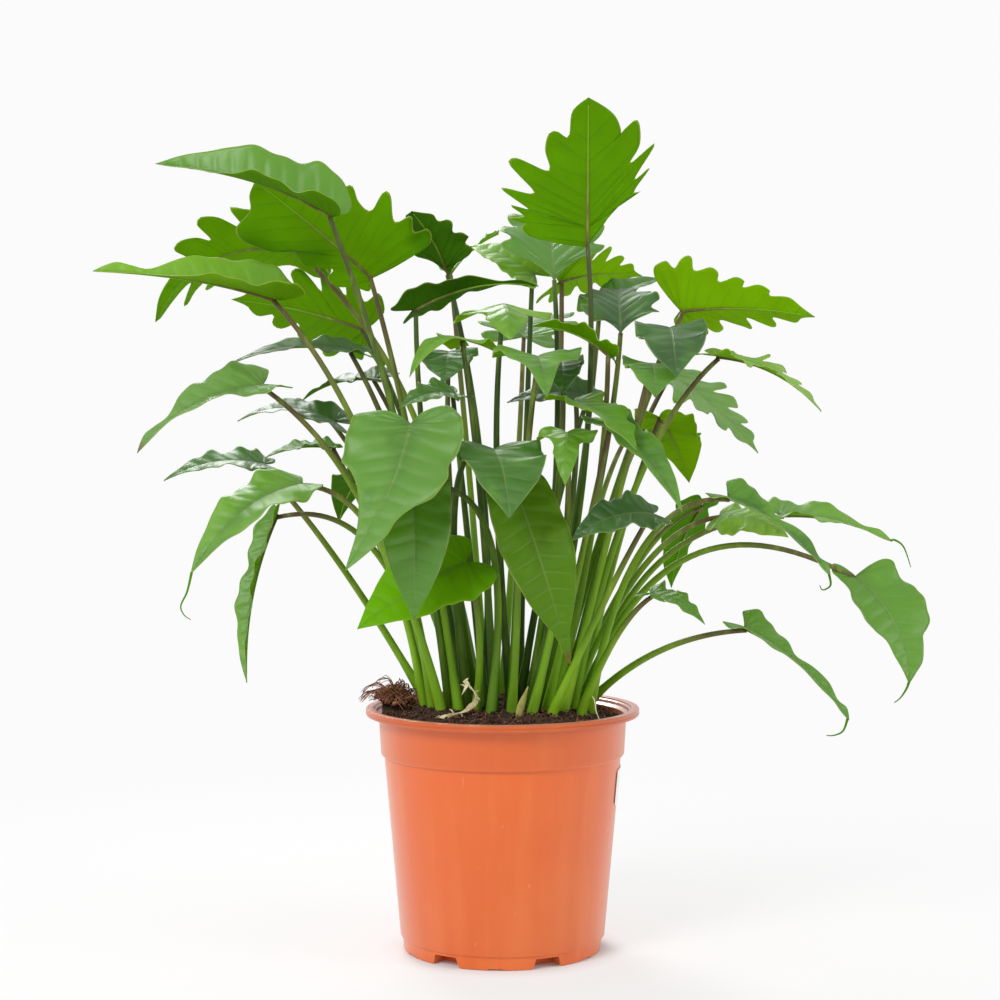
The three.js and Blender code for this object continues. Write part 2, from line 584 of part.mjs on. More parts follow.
function innerProfile() {
  const lipFoot = POT.height - POT.lipHeight;
  return [
    [0, POT.floor],
    [POT.baseRadius - POT.wall, POT.floor],
    [POT.footRadius - POT.wall, POT.footZ],
    [POT.bodyTop - POT.wall, POT.collarFootZ],
    [POT.collarFoot - POT.wall, POT.collarFootZ + 1.5],
    [POT.collarTop - POT.wall, lipFoot],
    [POT.lipInner - 2, lipFoot + 1.5],
    [POT.lipInner, POT.height - 1.5],
    [POT.lipInner + 0.5, POT.height + 1],
    [0, POT.height + 1],
  ];
}

function potSolid() {
  const body = lathe(outerProfile(), POT.segments);
  let pot = body.subtract(lathe(innerProfile(), POT.segments));
  const outer = POT.baseRadius + 5;
  const midWall = POT.baseRadius - POT.wall / 2;
  const within = lathe([[0, 0], [midWall, 0], [midWall, POT.footZ], [0, POT.footZ]], POT.segments);
  const pocketInner = POT.baseRadius - NOTCH.depth;
  const roof = NOTCH.height + POT.wall;
  for (let i = 0; i < NOTCH.count; i++) {
    const azimuth = NOTCH.firstAzimuth + (360 / NOTCH.count) * i;
    const wide = NOTCH.footWidth + 2 * POT.wall;
    const roofWide = NOTCH.topWidth + 2 * POT.wall;
    const block = trapezoid(wide, roofWide, roof, pocketInner - POT.wall, outer, azimuth);
    const cut = trapezoid(NOTCH.footWidth, NOTCH.topWidth, NOTCH.height, pocketInner, outer, azimuth);
    const drain = new THREE.CylinderGeometry(NOTCH.drain, NOTCH.drain, 3 * POT.wall, 8);
    drain.rotateX(Math.PI / 2);
    drain.translate(0, -(pocketInner + NOTCH.drain + 1), roof);
    drain.rotateZ(rad(azimuth));
    pot = pot.add(block.intersect(within)).subtract(cut).subtract(toSolid(drain));
    const { width, height } = SHALLOW_NOTCH;
    pot = pot.subtract(trapezoid(width, width - 2, height, pocketInner, outer, azimuth + 180 / NOTCH.count));
  }
  return pot;
}

// Compost

// Height of the compost before the stalks' holes: a dome, a heap at the left and small lumps
function soilHeight(x, y) {
  const r = Math.hypot(x, y);
  const slope = THREE.MathUtils.smoothstep(r, SOIL.crownRadius, POT.collarTop);
  const heap = HEAP.height * Math.exp(-((x - HEAP.x) ** 2 + (y - HEAP.y) ** 2) / (2 * HEAP.spread ** 2));
  const { acrossX, acrossY, shift } = LUMPS;
  const lumps = LUMPS.height * Math.sin(acrossX * x + shift) * Math.sin(acrossY * y) * slope;
  return SOIL.crown - (SOIL.crown - SOIL.edge) * slope + heap * slope + lumps;
}

function soilSolid(holes) {
  const lipFoot = POT.height - POT.lipHeight;
  const rise = (POT.collarTop - POT.collarFoot) / (lipFoot - POT.collarFootZ);
  const topRadius = POT.collarFoot - POT.wall - SOIL.gap + rise * (SOIL.edge - 3 - POT.collarFootZ);
  const seat = NOTCH.height + POT.wall + SOIL.gap;
  const plug = POT.baseRadius - NOTCH.depth - POT.wall - 2;
  const slack = POT.wall + SOIL.gap + 0.5;
  const wallProfile = [
    [plug, POT.floor + SOIL.gap],
    [plug, seat],
    [POT.footRadius - slack, seat],
    [POT.bodyTop - slack, POT.collarFootZ],
    [topRadius - 1.2, POT.collarFootZ + 3],
    [topRadius, SOIL.edge - 4],
  ];
  const shell = new Shell();
  const ring = (key, radius, height) =>
    Array.from({ length: SOIL.segments }, (_, k) => {
      const angle = (2 * Math.PI * k) / SOIL.segments;
      const x = radius * Math.cos(angle);
      const y = radius * Math.sin(angle);
      return shell.point(`${key}/${k}`, new THREE.Vector3(x, y, height ?? soilHeight(x, y)));
    });
  const rings = wallProfile.map(([r, z], i) => ring(`wall${i}`, r, z));
  for (let i = SOIL.rings; i > 0; i--) {
    const share = i / SOIL.rings;
    rings.push(ring(`top${i}`, topRadius * Math.sqrt(share)));
  }
  const join = (low, high, k) => {
    const next = (k + 1) % low.length;
    shell.quad(low[k], low[next], high[next], high[k]);
  };
  for (let i = 0; i < rings.length - 1; i++) {
    for (let k = 0; k < SOIL.segments; k++) join(rings[i], rings[i + 1], k);
  }
  const bottom = shell.point('bottom', new THREE.Vector3(0, 0, POT.floor + SOIL.gap));
  const crown = shell.point('crown', new THREE.Vector3(0, 0, soilHeight(0, 0)));
  for (let k = 0; k < SOIL.segments; k++) {
    const next = (k + 1) % SOIL.segments;
    shell.triangle(bottom, rings[0][next], rings[0][k]);
    shell.triangle(crown, rings[rings.length - 1][k], rings[rings.length - 1][next]);
  }
  return holes.reduce((soil, hole) => soil.subtract(hole), shell.solid());
}

// What lies on the compost: a clump of coir with curled strands, and a dried leaf sheath

function coirCore(growth) {
  const geometry = new THREE.SphereGeometry(1, 12, 7);
  const [x, y, z] = COIR.centre;
  const [rx, ry, rz] = COIR.reach;
  geometry.scale(rx + growth, ry + growth, rz + growth);
  geometry.translate(x, y, z);
  return toSolid(geometry);
}

function coirSolid() {
  return STRANDS.reduce((clump, [root, crest, end]) => {
    const path = new THREE.QuadraticBezierCurve3(vec(root), vec(crest), vec(end)).getPoints(COIR.steps);
    const radii = path.map((p, i) => COIR.strand + ((COIR.end - COIR.strand) * i) / COIR.steps);
    return clump.add(taperedTube(path, radii, COIR.sides));
  }, coirCore(0));
}

function sheathSolid() {
  const path = new THREE.CatmullRomCurve3(SHEATH.line.map(vec)).getPoints(SHEATH.steps);
  const radii = path.map((p, i) => SHEATH.halfWidth * (1 - 0.3 * Math.abs((2 * i) / SHEATH.steps - 1)));
  return taperedTube(path, radii, 4, SHEATH.flatness, SHEATH.twist);
}

// Sticker on the pot's side, bent round the wall and 0.3 mm clear of it

function stickerSolid() {
  const shell = new Shell();
  const wallAt = (z) => {
    const share = (z - POT.footZ) / (POT.collarFootZ - POT.footZ);
    return POT.bodyFoot + (POT.bodyTop - POT.bodyFoot) * share + CLEARANCE;
  };
  const corner = (i, face, end) => {
    const z = end ? STICKER.high : STICKER.low;
    const azimuth = rad(STICKER.from + ((STICKER.to - STICKER.from) * i) / STICKER.steps);
    const radius = wallAt(z) + face * STICKER.thickness;
    const position = new THREE.Vector3(radius * Math.sin(azimuth), -radius * Math.cos(azimuth), z);
    return shell.point(`${i}/${face}/${end}`, position);
  };
  for (let i = 0; i < STICKER.steps; i++) {
    const [a, b] = [i, i + 1];
    shell.quad(corner(a, 1, 0), corner(b, 1, 0), corner(b, 1, 1), corner(a, 1, 1));
    shell.quad(corner(a, 0, 0), corner(a, 0, 1), corner(b, 0, 1), corner(b, 0, 0));
    shell.quad(corner(a, 0, 0), corner(b, 0, 0), corner(b, 1, 0), corner(a, 1, 0));
    shell.quad(corner(a, 0, 1), corner(a, 1, 1), corner(b, 1, 1), corner(b, 0, 1));
  }
  const n = STICKER.steps;
  shell.quad(corner(0, 0, 0), corner(0, 1, 0), corner(0, 1, 1), corner(0, 0, 1));
  shell.quad(corner(n, 0, 0), corner(n, 0, 1), corner(n, 1, 1), corner(n, 1, 0));
  return shell.solid();
}

const leaves = LEAVES.map((row) => new Leaf(row));

const plant = new THREE.Group();
plant.add(part('pot', potSolid(), 0xe8703c, 0.5));
const pockets = [...leaves.map((leaf) => leaf.hole()), coirCore(CLEARANCE)];
plant.add(part('soil', soilSolid(pockets), 0x3c2823, 1));
plant.add(part('coir_roots', coirSolid(), 0x7a4a34, 1));
plant.add(part('dried_sheath', sheathSolid(), 0xb9a67c, 0.8));
plant.add(part('sticker', stickerSolid(), 0xf4f3ef, 0.6));
leaves.forEach((leaf, i) => plant.add(part(leaf.name, leaf.solid(), GREENS[i % GREENS.length], 0.45)));

export default plant;
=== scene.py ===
"""Potted xanadu philodendron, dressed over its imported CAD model.

Sizes are in millimetres and angles in degrees until a mesh or a light is made, which is in
metres. The viewer of the photograph stands on the -Y side, and +Z is up.
"""

import logging
import math
import random
from collections.abc import Sequence
from dataclasses import dataclass, field
from enum import Enum

import bmesh
import bpy
from mathutils import Matrix, Vector, noise


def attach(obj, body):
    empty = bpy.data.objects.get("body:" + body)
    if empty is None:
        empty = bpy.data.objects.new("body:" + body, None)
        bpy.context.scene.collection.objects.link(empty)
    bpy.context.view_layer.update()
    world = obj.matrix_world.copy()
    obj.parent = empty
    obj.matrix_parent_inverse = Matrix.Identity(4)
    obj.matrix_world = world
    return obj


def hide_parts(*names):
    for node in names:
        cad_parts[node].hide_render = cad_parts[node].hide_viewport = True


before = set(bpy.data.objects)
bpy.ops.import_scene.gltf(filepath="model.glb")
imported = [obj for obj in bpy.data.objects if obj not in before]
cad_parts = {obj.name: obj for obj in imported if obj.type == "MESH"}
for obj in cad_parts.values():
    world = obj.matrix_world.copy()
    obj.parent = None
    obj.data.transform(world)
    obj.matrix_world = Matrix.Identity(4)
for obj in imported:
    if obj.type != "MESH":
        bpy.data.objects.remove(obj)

log = logging.getLogger("plant")

MM = 0.001
UP = Vector((0.0, 0.0, 1.0))

Point2 = tuple[float, float]
Point3 = tuple[float, float, float]
Mark = tuple[float, float, float, float]
Colour = tuple[int, int, int]
Socket = bpy.types.NodeSocket


def linear(colour: Colour) -> tuple[float, float, float, float]:
    """Turns a colour as a screen shows it into the linear one that a shader takes.

    Args:
        colour: Red, green and blue, each 0 to 255.

    Returns:
        Red, green, blue and an alpha of one, each 0 to 1.
    """
    shares = [c / 255 for c in colour]
    return tuple(s / 12.92 if s <= 0.04045 else ((s + 0.055) / 1.055) ** 2.4 for s in shares) + (1.0,)


def smoothstep(value: float, low: float, high: float) -> float:
    """Rises smoothly from zero at low to one at high.

    Args:
        value: Where to look.
        low: Where the rise starts.
        high: Where it ends.

    Returns:
        The share of the rise that is done.
    """
    share = min(max((value - low) / (high - low), 0.0), 1.0)
    return share * share * (3 - 2 * share)


def bezier(start: Vector, elbow: Vector, end: Vector, share: float) -> Vector:
    """Finds a point of a quadratic Bezier curve.

    Args:
        start: The curve's start.
        elbow: Its control point.
        end: Its end.
        share: How far along, 0 to 1.

    Returns:
        The point.
    """
    rest = 1 - share
    return start * rest * rest + elbow * 2 * rest * share + end * share * share


def rounded(corners: Sequence[Vector], steps: int) -> list[Vector]:
    """Runs a smooth Catmull-Rom curve through corners and cuts it into equal lengths.

    Args:
        corners: The points that the curve passes through.
        steps: How many equal lengths to cut.

    Returns:
        The steps + 1 points between those lengths.
    """
    fine: list[Vector] = []
    for i in range(len(corners) - 1):
        before = corners[max(i - 1, 0)]
        a, b = corners[i], corners[i + 1]
        after = corners[min(i + 2, len(corners) - 1)]
        for k in range(8):
            t = k / 8
            slope_in = (b - before) / 2
            slope_out = (after - a) / 2
            fine.append(
                a * (2 * t**3 - 3 * t**2 + 1)
                + slope_in * (t**3 - 2 * t**2 + t)
                + b * (3 * t**2 - 2 * t**3)
                + slope_out * (t**3 - t**2)
            )
    fine.append(corners[-1])
    reach = [0.0]
    for a, b in zip(fine, fine[1:]):
        reach.append(reach[-1] + (b - a).length)
    cut: list[Vector] = []
    at = 0
    for k in range(steps + 1):
        goal = reach[-1] * k / steps
        while at < len(fine) - 2 and reach[at + 1] < goal:
            at += 1
        span = reach[at + 1] - reach[at]
        cut.append(fine[at].lerp(fine[at + 1], (goal - reach[at]) / span if span else 0.0))
    return cut


class Draft:
    """Collects the points and faces of one mesh, with a finish and a mark at each corner."""

    def __init__(self) -> None:
        """Starts with no points."""
        self.points: list[Vector] = []
        self.faces: list[tuple[int, ...]] = []
        self.finishes: list[int] = []
        self.marks: list[Mark] = []

    def face(self, corners: Sequence[int], marks: Sequence[Mark], finish: int = 0) -> None:
        """Adds a face.

        Args:
            corners: The numbers of its points, anticlockwise from outside.
            marks: The mark at each corner.
            finish: Which of the piece's finishes it takes.
        """
        self.faces.append(tuple(corners))
        self.marks.extend(marks)
        self.finishes.append(finish)

    def grid(
        self, rows: Sequence[Sequence[Vector]], marks: Sequence[Sequence[Mark]], finish: int, flip: bool
    ) -> None:
        """Adds a sheet of four-sided faces.

        Args:
            rows: Rows of points, all of one length.
            marks: The mark at each point.
            finish: Which of the piece's finishes it takes.
            flip: True to face the other way.
        """
        start = len(self.points)
        wide = len(rows[0])
        for row in rows:
            self.points.extend(row)
        for i in range(len(rows) - 1):
            for j in range(wide - 1):
                spots = [(i, j), (i + 1, j), (i + 1, j + 1), (i, j + 1)]
                if flip:
                    spots.reverse()
                self.face([start + a * wide + b for a, b in spots], [marks[a][b] for a, b in spots], finish)

    def tube(
        self,
        path: Sequence[Vector],
        radii: Sequence[float],
        sides: int,
        finish: int = 0,
        seed: float = 0.0,
        flatness: float = 1.0,
        twist: float = 0.0,
    ) -> None:
        """Adds a closed tube along a path, its section carried along without turning.

        Args:
            path: The points that it follows.
            radii: Its radius at each.
            sides: How many sides its section has.
            finish: Which of the piece's finishes it takes.
            seed: A number from 0 to 1 that its mark carries.
            flatness: How thick the section is, as a share of how wide.
            twist: How far the section turns from end to end, in degrees.
        """
        start = len(self.points)
        count = len(path)
        across = Vector((1.0, 0.0, 0.0))
        for i, centre in enumerate(path):
            tangent = (path[min(i + 1, count - 1)] - path[max(i - 1, 0)]).normalized()
            if abs(across.dot(tangent)) > 0.95:
                across = Vector((0.0, 1.0, 0.0))
            across = (across - tangent * across.dot(tangent)).normalized()
            wide = Matrix.Rotation(math.radians(twist * i / (count - 1)), 3, tangent) @ across
            thin = tangent.cross(wide) * flatness
            for k in range(sides):
                angle = math.tau * k / sides
                self.points.append(centre + (wide * math.cos(angle) + thin * math.sin(angle)) * radii[i])
        for i in range(count - 1):
            for k in range(sides):
                spots = [(i, k), (i, k + 1), (i + 1, k + 1), (i + 1, k)]
                marks = [(a / (count - 1), b / sides, a / (count - 1), seed) for a, b in spots]
                self.face([start + a * sides + b % sides for a, b in spots], marks, finish)
        for i, order in ((0, -1), (count - 1, 1)):
            ring = [start + i * sides + k for k in range(sides)][::order]
            self.face(ring, [(i / (count - 1), 0.0, i / (count - 1), seed)] * sides, finish)

    def crumb(self, centre: Vector, radius: float, chance: random.Random) -> None:
        """Adds a small uneven lump.

        Args:
            centre: Its middle.
            radius: Its mean radius.
            chance: Where its unevenness comes from.
        """
        start = len(self.points)
        golden = (1 + math.sqrt(5)) / 2
        corners = [(0, a, b * golden) for a in (1, -1) for b in (1, -1)]
        corners += [(a, b * golden, 0) for a in (1, -1) for b in (1, -1)]
        corners += [(b * golden, 0, a) for a in (1, -1) for b in (1, -1)]
        turn = Matrix.Rotation(chance.uniform(0, math.tau), 3, Vector((chance.random(), chance.random(), 1)))
        for corner in corners:
            reach = radius * chance.uniform(0.6, 1.25)
            self.points.append(centre + turn @ Vector(corner).normalized() * reach)
        edge = 2.1
        seed = chance.random()
        solid = [Vector(c) for c in corners]
        for i in range(12):
            for j in range(i + 1, 12):
                for k in range(j + 1, 12):
                    a, b, c = solid[i], solid[j], solid[k]
                    if (a - b).length > edge or (b - c).length > edge or (a - c).length > edge:
                        continue
                    outward = (b - a).cross(c - a).dot(a + b + c) > 0
                    order = (i, j, k) if outward else (i, k, j)
                    self.face([start + n for n in order], [(seed, seed, seed, seed)] * 3)

    def build(
        self, name: str, finishes: Sequence[bpy.types.Material], seam: float = 1e-7
    ) -> bpy.types.Object:
        """Makes the piece's object, with equal points joined and flat faces dropped.

        Args:
            name: The object's name.
            finishes: Its materials, in the order of the finish numbers.
            seam: How near points are joined, in metres.

        Returns:
            The object, in the scene.
        """
        mesh = bpy.data.meshes.new(name)
        mesh.from_pydata([p * MM for p in self.points], [], self.faces)
        veins = mesh.uv_layers.new(name="veins")
        place = mesh.uv_layers.new(name="place")
        veins.data.foreach_set("uv", [v for mark in self.marks for v in mark[:2]])
        place.data.foreach_set("uv", [v for mark in self.marks for v in mark[2:]])
        mesh.polygons.foreach_set("material_index", self.finishes)
        mesh.polygons.foreach_set("use_smooth", [True] * len(self.faces))
        for finish in finishes:
            mesh.materials.append(finish)
        form = bmesh.new()
        form.from_mesh(mesh)
        bmesh.ops.remove_doubles(form, verts=form.verts, dist=seam)
        bmesh.ops.dissolve_degenerate(form, edges=form.edges, dist=seam)
        form.to_mesh(mesh)
        form.free()
        piece = bpy.data.objects.new(name, mesh)
        bpy.context.collection.objects.link(piece)
        return piece


def settle(piece: bpy.types.Object, slot: str, *nodes: str) -> bpy.types.Object:
    """Puts a finished piece on the part's body.

    Args:
        piece: The piece.
        slot: A material slot's name; not used.
        nodes: The CAD nodes that it stands for.

    Returns:
        The piece.
    """
    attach(piece, "root")
    if nodes:
        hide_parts(*nodes)
    log.info("%s: %d faces", piece.name, len(piece.data.polygons))
    return piece


class Recipe:
    """A material in the making: adds shader nodes and joins them."""

    def __init__(self, name: str) -> None:
        """Starts an empty material.

        Args:
            name: The material's name.
        """
        self.material = bpy.data.materials.new(name)
        self.material.use_nodes = True
        self.tree = self.material.node_tree
        self.tree.nodes.clear()

    def node(
        self, kind: str, inputs: dict[str | int, object] | None = None, **settings: object
    ) -> bpy.types.Node:
        """Adds a node.

        Args:
            kind: Its type, without the ShaderNode in front.
            inputs: What each of its sockets takes: a value, or another node's socket.
            settings: The node's own settings.

        Returns:
            The node.
        """
        made = self.tree.nodes.new("ShaderNode" + kind)
        for key, value in settings.items():
            setattr(made, key, value)
        for key, value in (inputs or {}).items():
            if isinstance(value, Socket):
                self.tree.links.new(value, made.inputs[key])
            else:
                made.inputs[key].default_value = value
        return made

    def math(self, operation: str, first: object, second: object = 0.0, third: object = 0.0) -> Socket:
        """Does one sum.

        Args:
            operation: The Math node's operation.
            first: The first number or socket.
            second: The second.
            third: The third.

        Returns:
            The result's socket.
        """
        return self.node("Math", {0: first, 1: second, 2: third}, operation=operation).outputs[0]

    def ramp(self, value: object, low: float, high: float, start: float = 0.0, end: float = 1.0) -> Socket:
        """Maps a stretch of a value smoothly onto another.

        Args:
            value: The value's socket.
            low: Where the stretch starts.
            high: Where it ends.
            start: The result at low and beyond.
            end: The result at high and beyond.

        Returns:
            The result's socket.
        """
        inputs = {"Value": value, "From Min": low, "From Max": high, "To Min": start, "To Max": end}
        return self.node("MapRange", inputs, interpolation_type="SMOOTHSTEP").outputs[0]

    def mix(self, factor: Socket, first: Socket | Colour, second: Colour) -> Socket:
        """Mixes two colours.

        Args:
            factor: How much of the second.
            first: The first colour, or its socket.
            second: The second colour.

        Returns:
            The mixed colour's socket.
        """
        under = first if isinstance(first, Socket) else linear(first)
        made = self.node("Mix", {0: factor, 6: under, 7: linear(second)}, data_type="RGBA")
        return made.outputs[2]

    def marks(self, layer: str) -> tuple[Socket, Socket]:
        """Reads the two numbers that each corner of the mesh carries in a layer.

        Args:
            layer: The layer's name: veins or place.

        Returns:
            Their sockets.
        """
        pair = self.node("UVMap", uv_map=layer).outputs[0]
        split = self.node("SeparateXYZ", {0: pair})
        return split.outputs[0], split.outputs[1]

    def noise(self, scale: float, detail: float = 3.0, stretch: Point3 = (1.0, 1.0, 1.0)) -> Socket:
        """Adds a noise that stays with the piece.

        Args:
            scale: How many lumps to a metre.
            detail: How many finer layers it has.
            stretch: How much each axis is scaled first.

        Returns:
            The noise value's socket.
        """
        place = self.node("TexCoord").outputs["Object"]
        mapped = self.node("Mapping", {"Vector": place, "Scale": stretch}).outputs[0]
        return self.node("TexNoise", {"Vector": mapped, "Scale": scale, "Detail": detail}).outputs[0]

    def bump(self, height: Socket, strength: float, distance: float, under: Socket | None = None) -> Socket:
        """Turns a height into a bumped normal.

        Args:
            height: The height's socket.
            strength: How strongly it shows.
            distance: The height of one unit, in millimetres.
            under: A normal that is bumped already.

        Returns:
            The normal's socket.
        """
        inputs = {"Height": height, "Strength": strength, "Distance": distance * MM}
        if under is not None:
            inputs["Normal"] = under
        return self.node("Bump", inputs).outputs[0]

    def finish(self, shader: bpy.types.Node) -> bpy.types.Material:
        """Ends the material with this shader."""
        self.node("OutputMaterial", {"Surface": shader.outputs[0]})
        return self.material


@dataclass(frozen=True)
class LeafTone:
    """The colours of one kind of leaf.

    Attributes:
        upper: The upper face between the veins.
        upper_deep: The upper face's darker colour, for its random darker patches and the painted shade along
            the midrib.
        lower: The lower face.
        glow: The light that comes through the blade.
        scorch: How much of the tip has dried, as a share of the blade.
        gloss: How much the upper face shines.
    """

    upper: Colour
    upper_deep: Colour
    lower: Colour
    glow: Colour
    scorch: float = 0.0
    gloss: float = 1.0


class Tone(Enum):
    """The kinds of leaf, by colour: partly each leaf's own green, partly painted light and shade, with
    darker tones for leaves that sit in shade and a glowing one for light through the blade.
    """

    LIME = LeafTone((134, 182, 44), (98, 154, 24), (92, 148, 6), (208, 238, 46))
    FRESH = LeafTone((112, 164, 52), (80, 134, 32), (76, 134, 4), (186, 224, 36))
    GREEN = LeafTone((102, 156, 50), (64, 116, 28), (66, 118, 12), (170, 210, 40))
    # This tone is partly a darker green and partly painted shade, for leaves that sit in shade.
    DEEP = LeafTone((66, 118, 36), (40, 84, 24), (54, 98, 16), (142, 184, 40))
    TIRED = LeafTone((120, 164, 32), (82, 124, 16), (80, 130, 14), (180, 214, 40), 0.09, 0.3)
    DRY_TIP = LeafTone((110, 158, 72), (84, 130, 52), (78, 128, 14), (180, 214, 44), 0.09)
    BACKLIT = LeafTone((104, 172, 8), (88, 154, 4), (84, 144, 4), (204, 240, 30), 0.0, 0.1)


@dataclass(frozen=True)
class BladeFinish:
    """The surface of a leaf blade.

    Attributes:
        glow_share: How much of the light goes through instead of back.
        vein: The side veins on the upper face.
        midrib: The midrib on the upper face.
        midrib_lower: The midrib on the lower face.
        margin: The thin edge line.
        dried: A dried tip.
    """

    glow_share: float = 0.42
    vein: Colour = (150, 186, 96)
    midrib: Colour = (140, 172, 84)
    midrib_lower: Colour = (120, 84, 62)
    margin: Colour = (168, 178, 84)
    dried: Colour = (122, 84, 44)

    def make(self, tone: Tone, upper: bool) -> bpy.types.Material:
        """Makes the material of one face of the blades of one tone.

        Args:
            tone: The kind of leaf.
            upper: True for the upper face.

        Returns:
            The material.
        """
        look = tone.value
        recipe = Recipe(f"blade_{tone.name.lower()}_{'upper' if upper else 'lower'}")
        rows, share = recipe.marks("veins")
        along, seed = recipe.marks("place")
        wander = recipe.math("MULTIPLY_ADD", recipe.noise(70), 0.22, rows)
        gap = recipe.math("PINGPONG", wander, 0.5)
        vein = recipe.math("MULTIPLY", recipe.ramp(gap, 0.07, 0.0), recipe.ramp(share, 1.0, 0.6))
        rib = recipe.ramp(share, 0.05, 0.02)
        edge = recipe.ramp(share, 0.965, 0.99)
        patch = recipe.noise(38, 4)
        uneven = recipe.math("ADD", patch, recipe.math("MULTIPLY_ADD", seed, 0.5, -0.25))
        depth = recipe.ramp(uneven, 0.3, 0.72)
        if upper:
            fine = recipe.math("MULTIPLY_ADD", recipe.noise(170, 3), 0.5, -0.25)
            # Painted shade: the upper face darkens towards the midrib, most near the stalk.
            inner = recipe.ramp(share, 0.45, 0.0)
            painted_midrib_shade = recipe.math("MULTIPLY", inner, recipe.ramp(along, 0.9, 0.1, -0.15, -0.5))
            tint = recipe.math("ADD", recipe.math("ADD", depth, fine), painted_midrib_shade)
            body = recipe.mix(recipe.ramp(tint, 0.0, 1.0), look.upper_deep, look.upper)
            body = recipe.mix(recipe.math("MULTIPLY", vein, 0.24), body, self.vein)
            body = recipe.mix(recipe.math("MULTIPLY", rib, 0.45), body, self.midrib)
        else:
            deep = tuple(round(c * 0.86) for c in look.lower)
            body = recipe.mix(depth, deep, look.lower)
            body = recipe.mix(recipe.math("MULTIPLY", vein, 0.16), body, look.upper)
            brown = recipe.math("MULTIPLY", rib, recipe.ramp(along, 1.0, 0.35, 0.3, 0.9))
            body = recipe.mix(brown, body, self.midrib_lower)
        body = recipe.mix(recipe.math("MULTIPLY", edge, 0.6), body, self.margin)
        if look.scorch:
            reach = recipe.math("MULTIPLY_ADD", patch, 0.1, along)
            dry = recipe.ramp(reach, 1.05 - look.scorch, 1.09 - look.scorch)
            spot = recipe.ramp(recipe.noise(26, 2), 0.69, 0.72)
            body = recipe.mix(recipe.math("MAXIMUM", dry, spot), body, self.dried)
        pillow = recipe.math("MULTIPLY", recipe.ramp(gap, 0.0, 0.32), recipe.ramp(share, 1.0, 0.5))
        pucker = recipe.math("MULTIPLY_ADD", recipe.noise(90, 3), 1.5, recipe.math("MULTIPLY", rib, -0.6))
        rays = recipe.math("SINE", recipe.math("MULTIPLY", wander, math.tau * 2))
        near = recipe.math("MULTIPLY", recipe.ramp(along, 0.3, 0.02), recipe.ramp(share, 0.9, 0.1))
        pucker = recipe.math("MULTIPLY_ADD", recipe.math("MULTIPLY", rays, near), 0.5, pucker)
        height = recipe.math("MULTIPLY_ADD", pillow, 0.9 if upper else -0.6, pucker)
        shine = recipe.node(
            "BsdfPrincipled",
            {
                "Base Color": body,
                "Roughness": recipe.ramp(patch, 0.2, 0.8, 0.4, 0.54) if upper else 0.66,
                "Specular IOR Level": 0.6 * look.gloss if upper else 0.05,
                "Coat Weight": 0.55 * look.gloss if upper else 0.0,
                "Coat Roughness": 0.5,
                "Sheen Weight": 0.12 * look.gloss if upper else 0.0,
                "Sheen Roughness": 0.45,
                "Sheen Tint": linear((228, 246, 222)),
                "Normal": recipe.bump(height, 0.6, 0.8),
            },
        )
        through = recipe.mix(recipe.math("MULTIPLY", vein, 0.4), look.glow, look.upper)
        glow = recipe.node("BsdfTranslucent", {"Color": through})
        blend = recipe.node("MixShader", {0: self.glow_share, 1: shine.outputs[0], 2: glow.outputs[0]})
        return recipe.finish(blend)


@dataclass(frozen=True)
class StalkFinish:
    """The surface of the stalks and midribs.

    Attributes:
        foot: The colour near the compost.
        shaft: The colour of most of the stalk.
        neck: The browner colour below the blade.
        inner: The painted shade of a stalk in the clump's middle.
        streak: The paler lines along it.
    """

    foot: Colour = (118, 166, 26)
    shaft: Colour = (108, 146, 26)
    neck: Colour = (92, 68, 50)
    inner: Colour = (46, 74, 24)
    streak: Colour = (150, 182, 60)

    def make(self) -> bpy.types.Material:
        """Makes the material.

        Returns:
            The material.
        """
        recipe = Recipe("stalk")
        along, seed = recipe.marks("place")
        streak = recipe.noise(160, 3, (1.0, 1.0, 0.08))
        body = recipe.mix(recipe.ramp(along, 0.08, 0.5), self.foot, self.shaft)
        brown = recipe.math("MULTIPLY", recipe.ramp(along, 0.4, 0.95), 0.92)
        body = recipe.mix(brown, body, self.neck)
        # Painted shade: stalks nearer the clump's middle are darkened towards the inner colour.
        body = recipe.mix(recipe.ramp(seed, 0.64, 0.34, 0.0, 0.9), body, self.inner)
        pale = recipe.math("MULTIPLY", recipe.ramp(streak, 0.45, 0.75), 0.35)
        body = recipe.mix(pale, body, self.streak)
        shine = recipe.node(
            "BsdfPrincipled",
            {
                "Base Color": body,
                "Roughness": recipe.ramp(streak, 0.2, 0.8, 0.38, 0.55),
                "Specular IOR Level": 0.22,
                "Normal": recipe.bump(streak, 0.3, 0.4),
            },
        )
        return recipe.finish(shine)


@dataclass(frozen=True)
class Margin:
    """An outline of a blade, from the stalk to the tip.

    Attributes:
        lean: How far the side veins slant forward, in blade lengths for each length outward.
        points: The half on the leaf's left, as (blade lengths along, half widths out).
        other_lean: The slant of the other half's veins where it differs.
        other: The other half's points where they differ.
    """

    lean: float
    points: tuple[Point2, ...]
    other_lean: float = 0.0
    other: tuple[Point2, ...] = ()


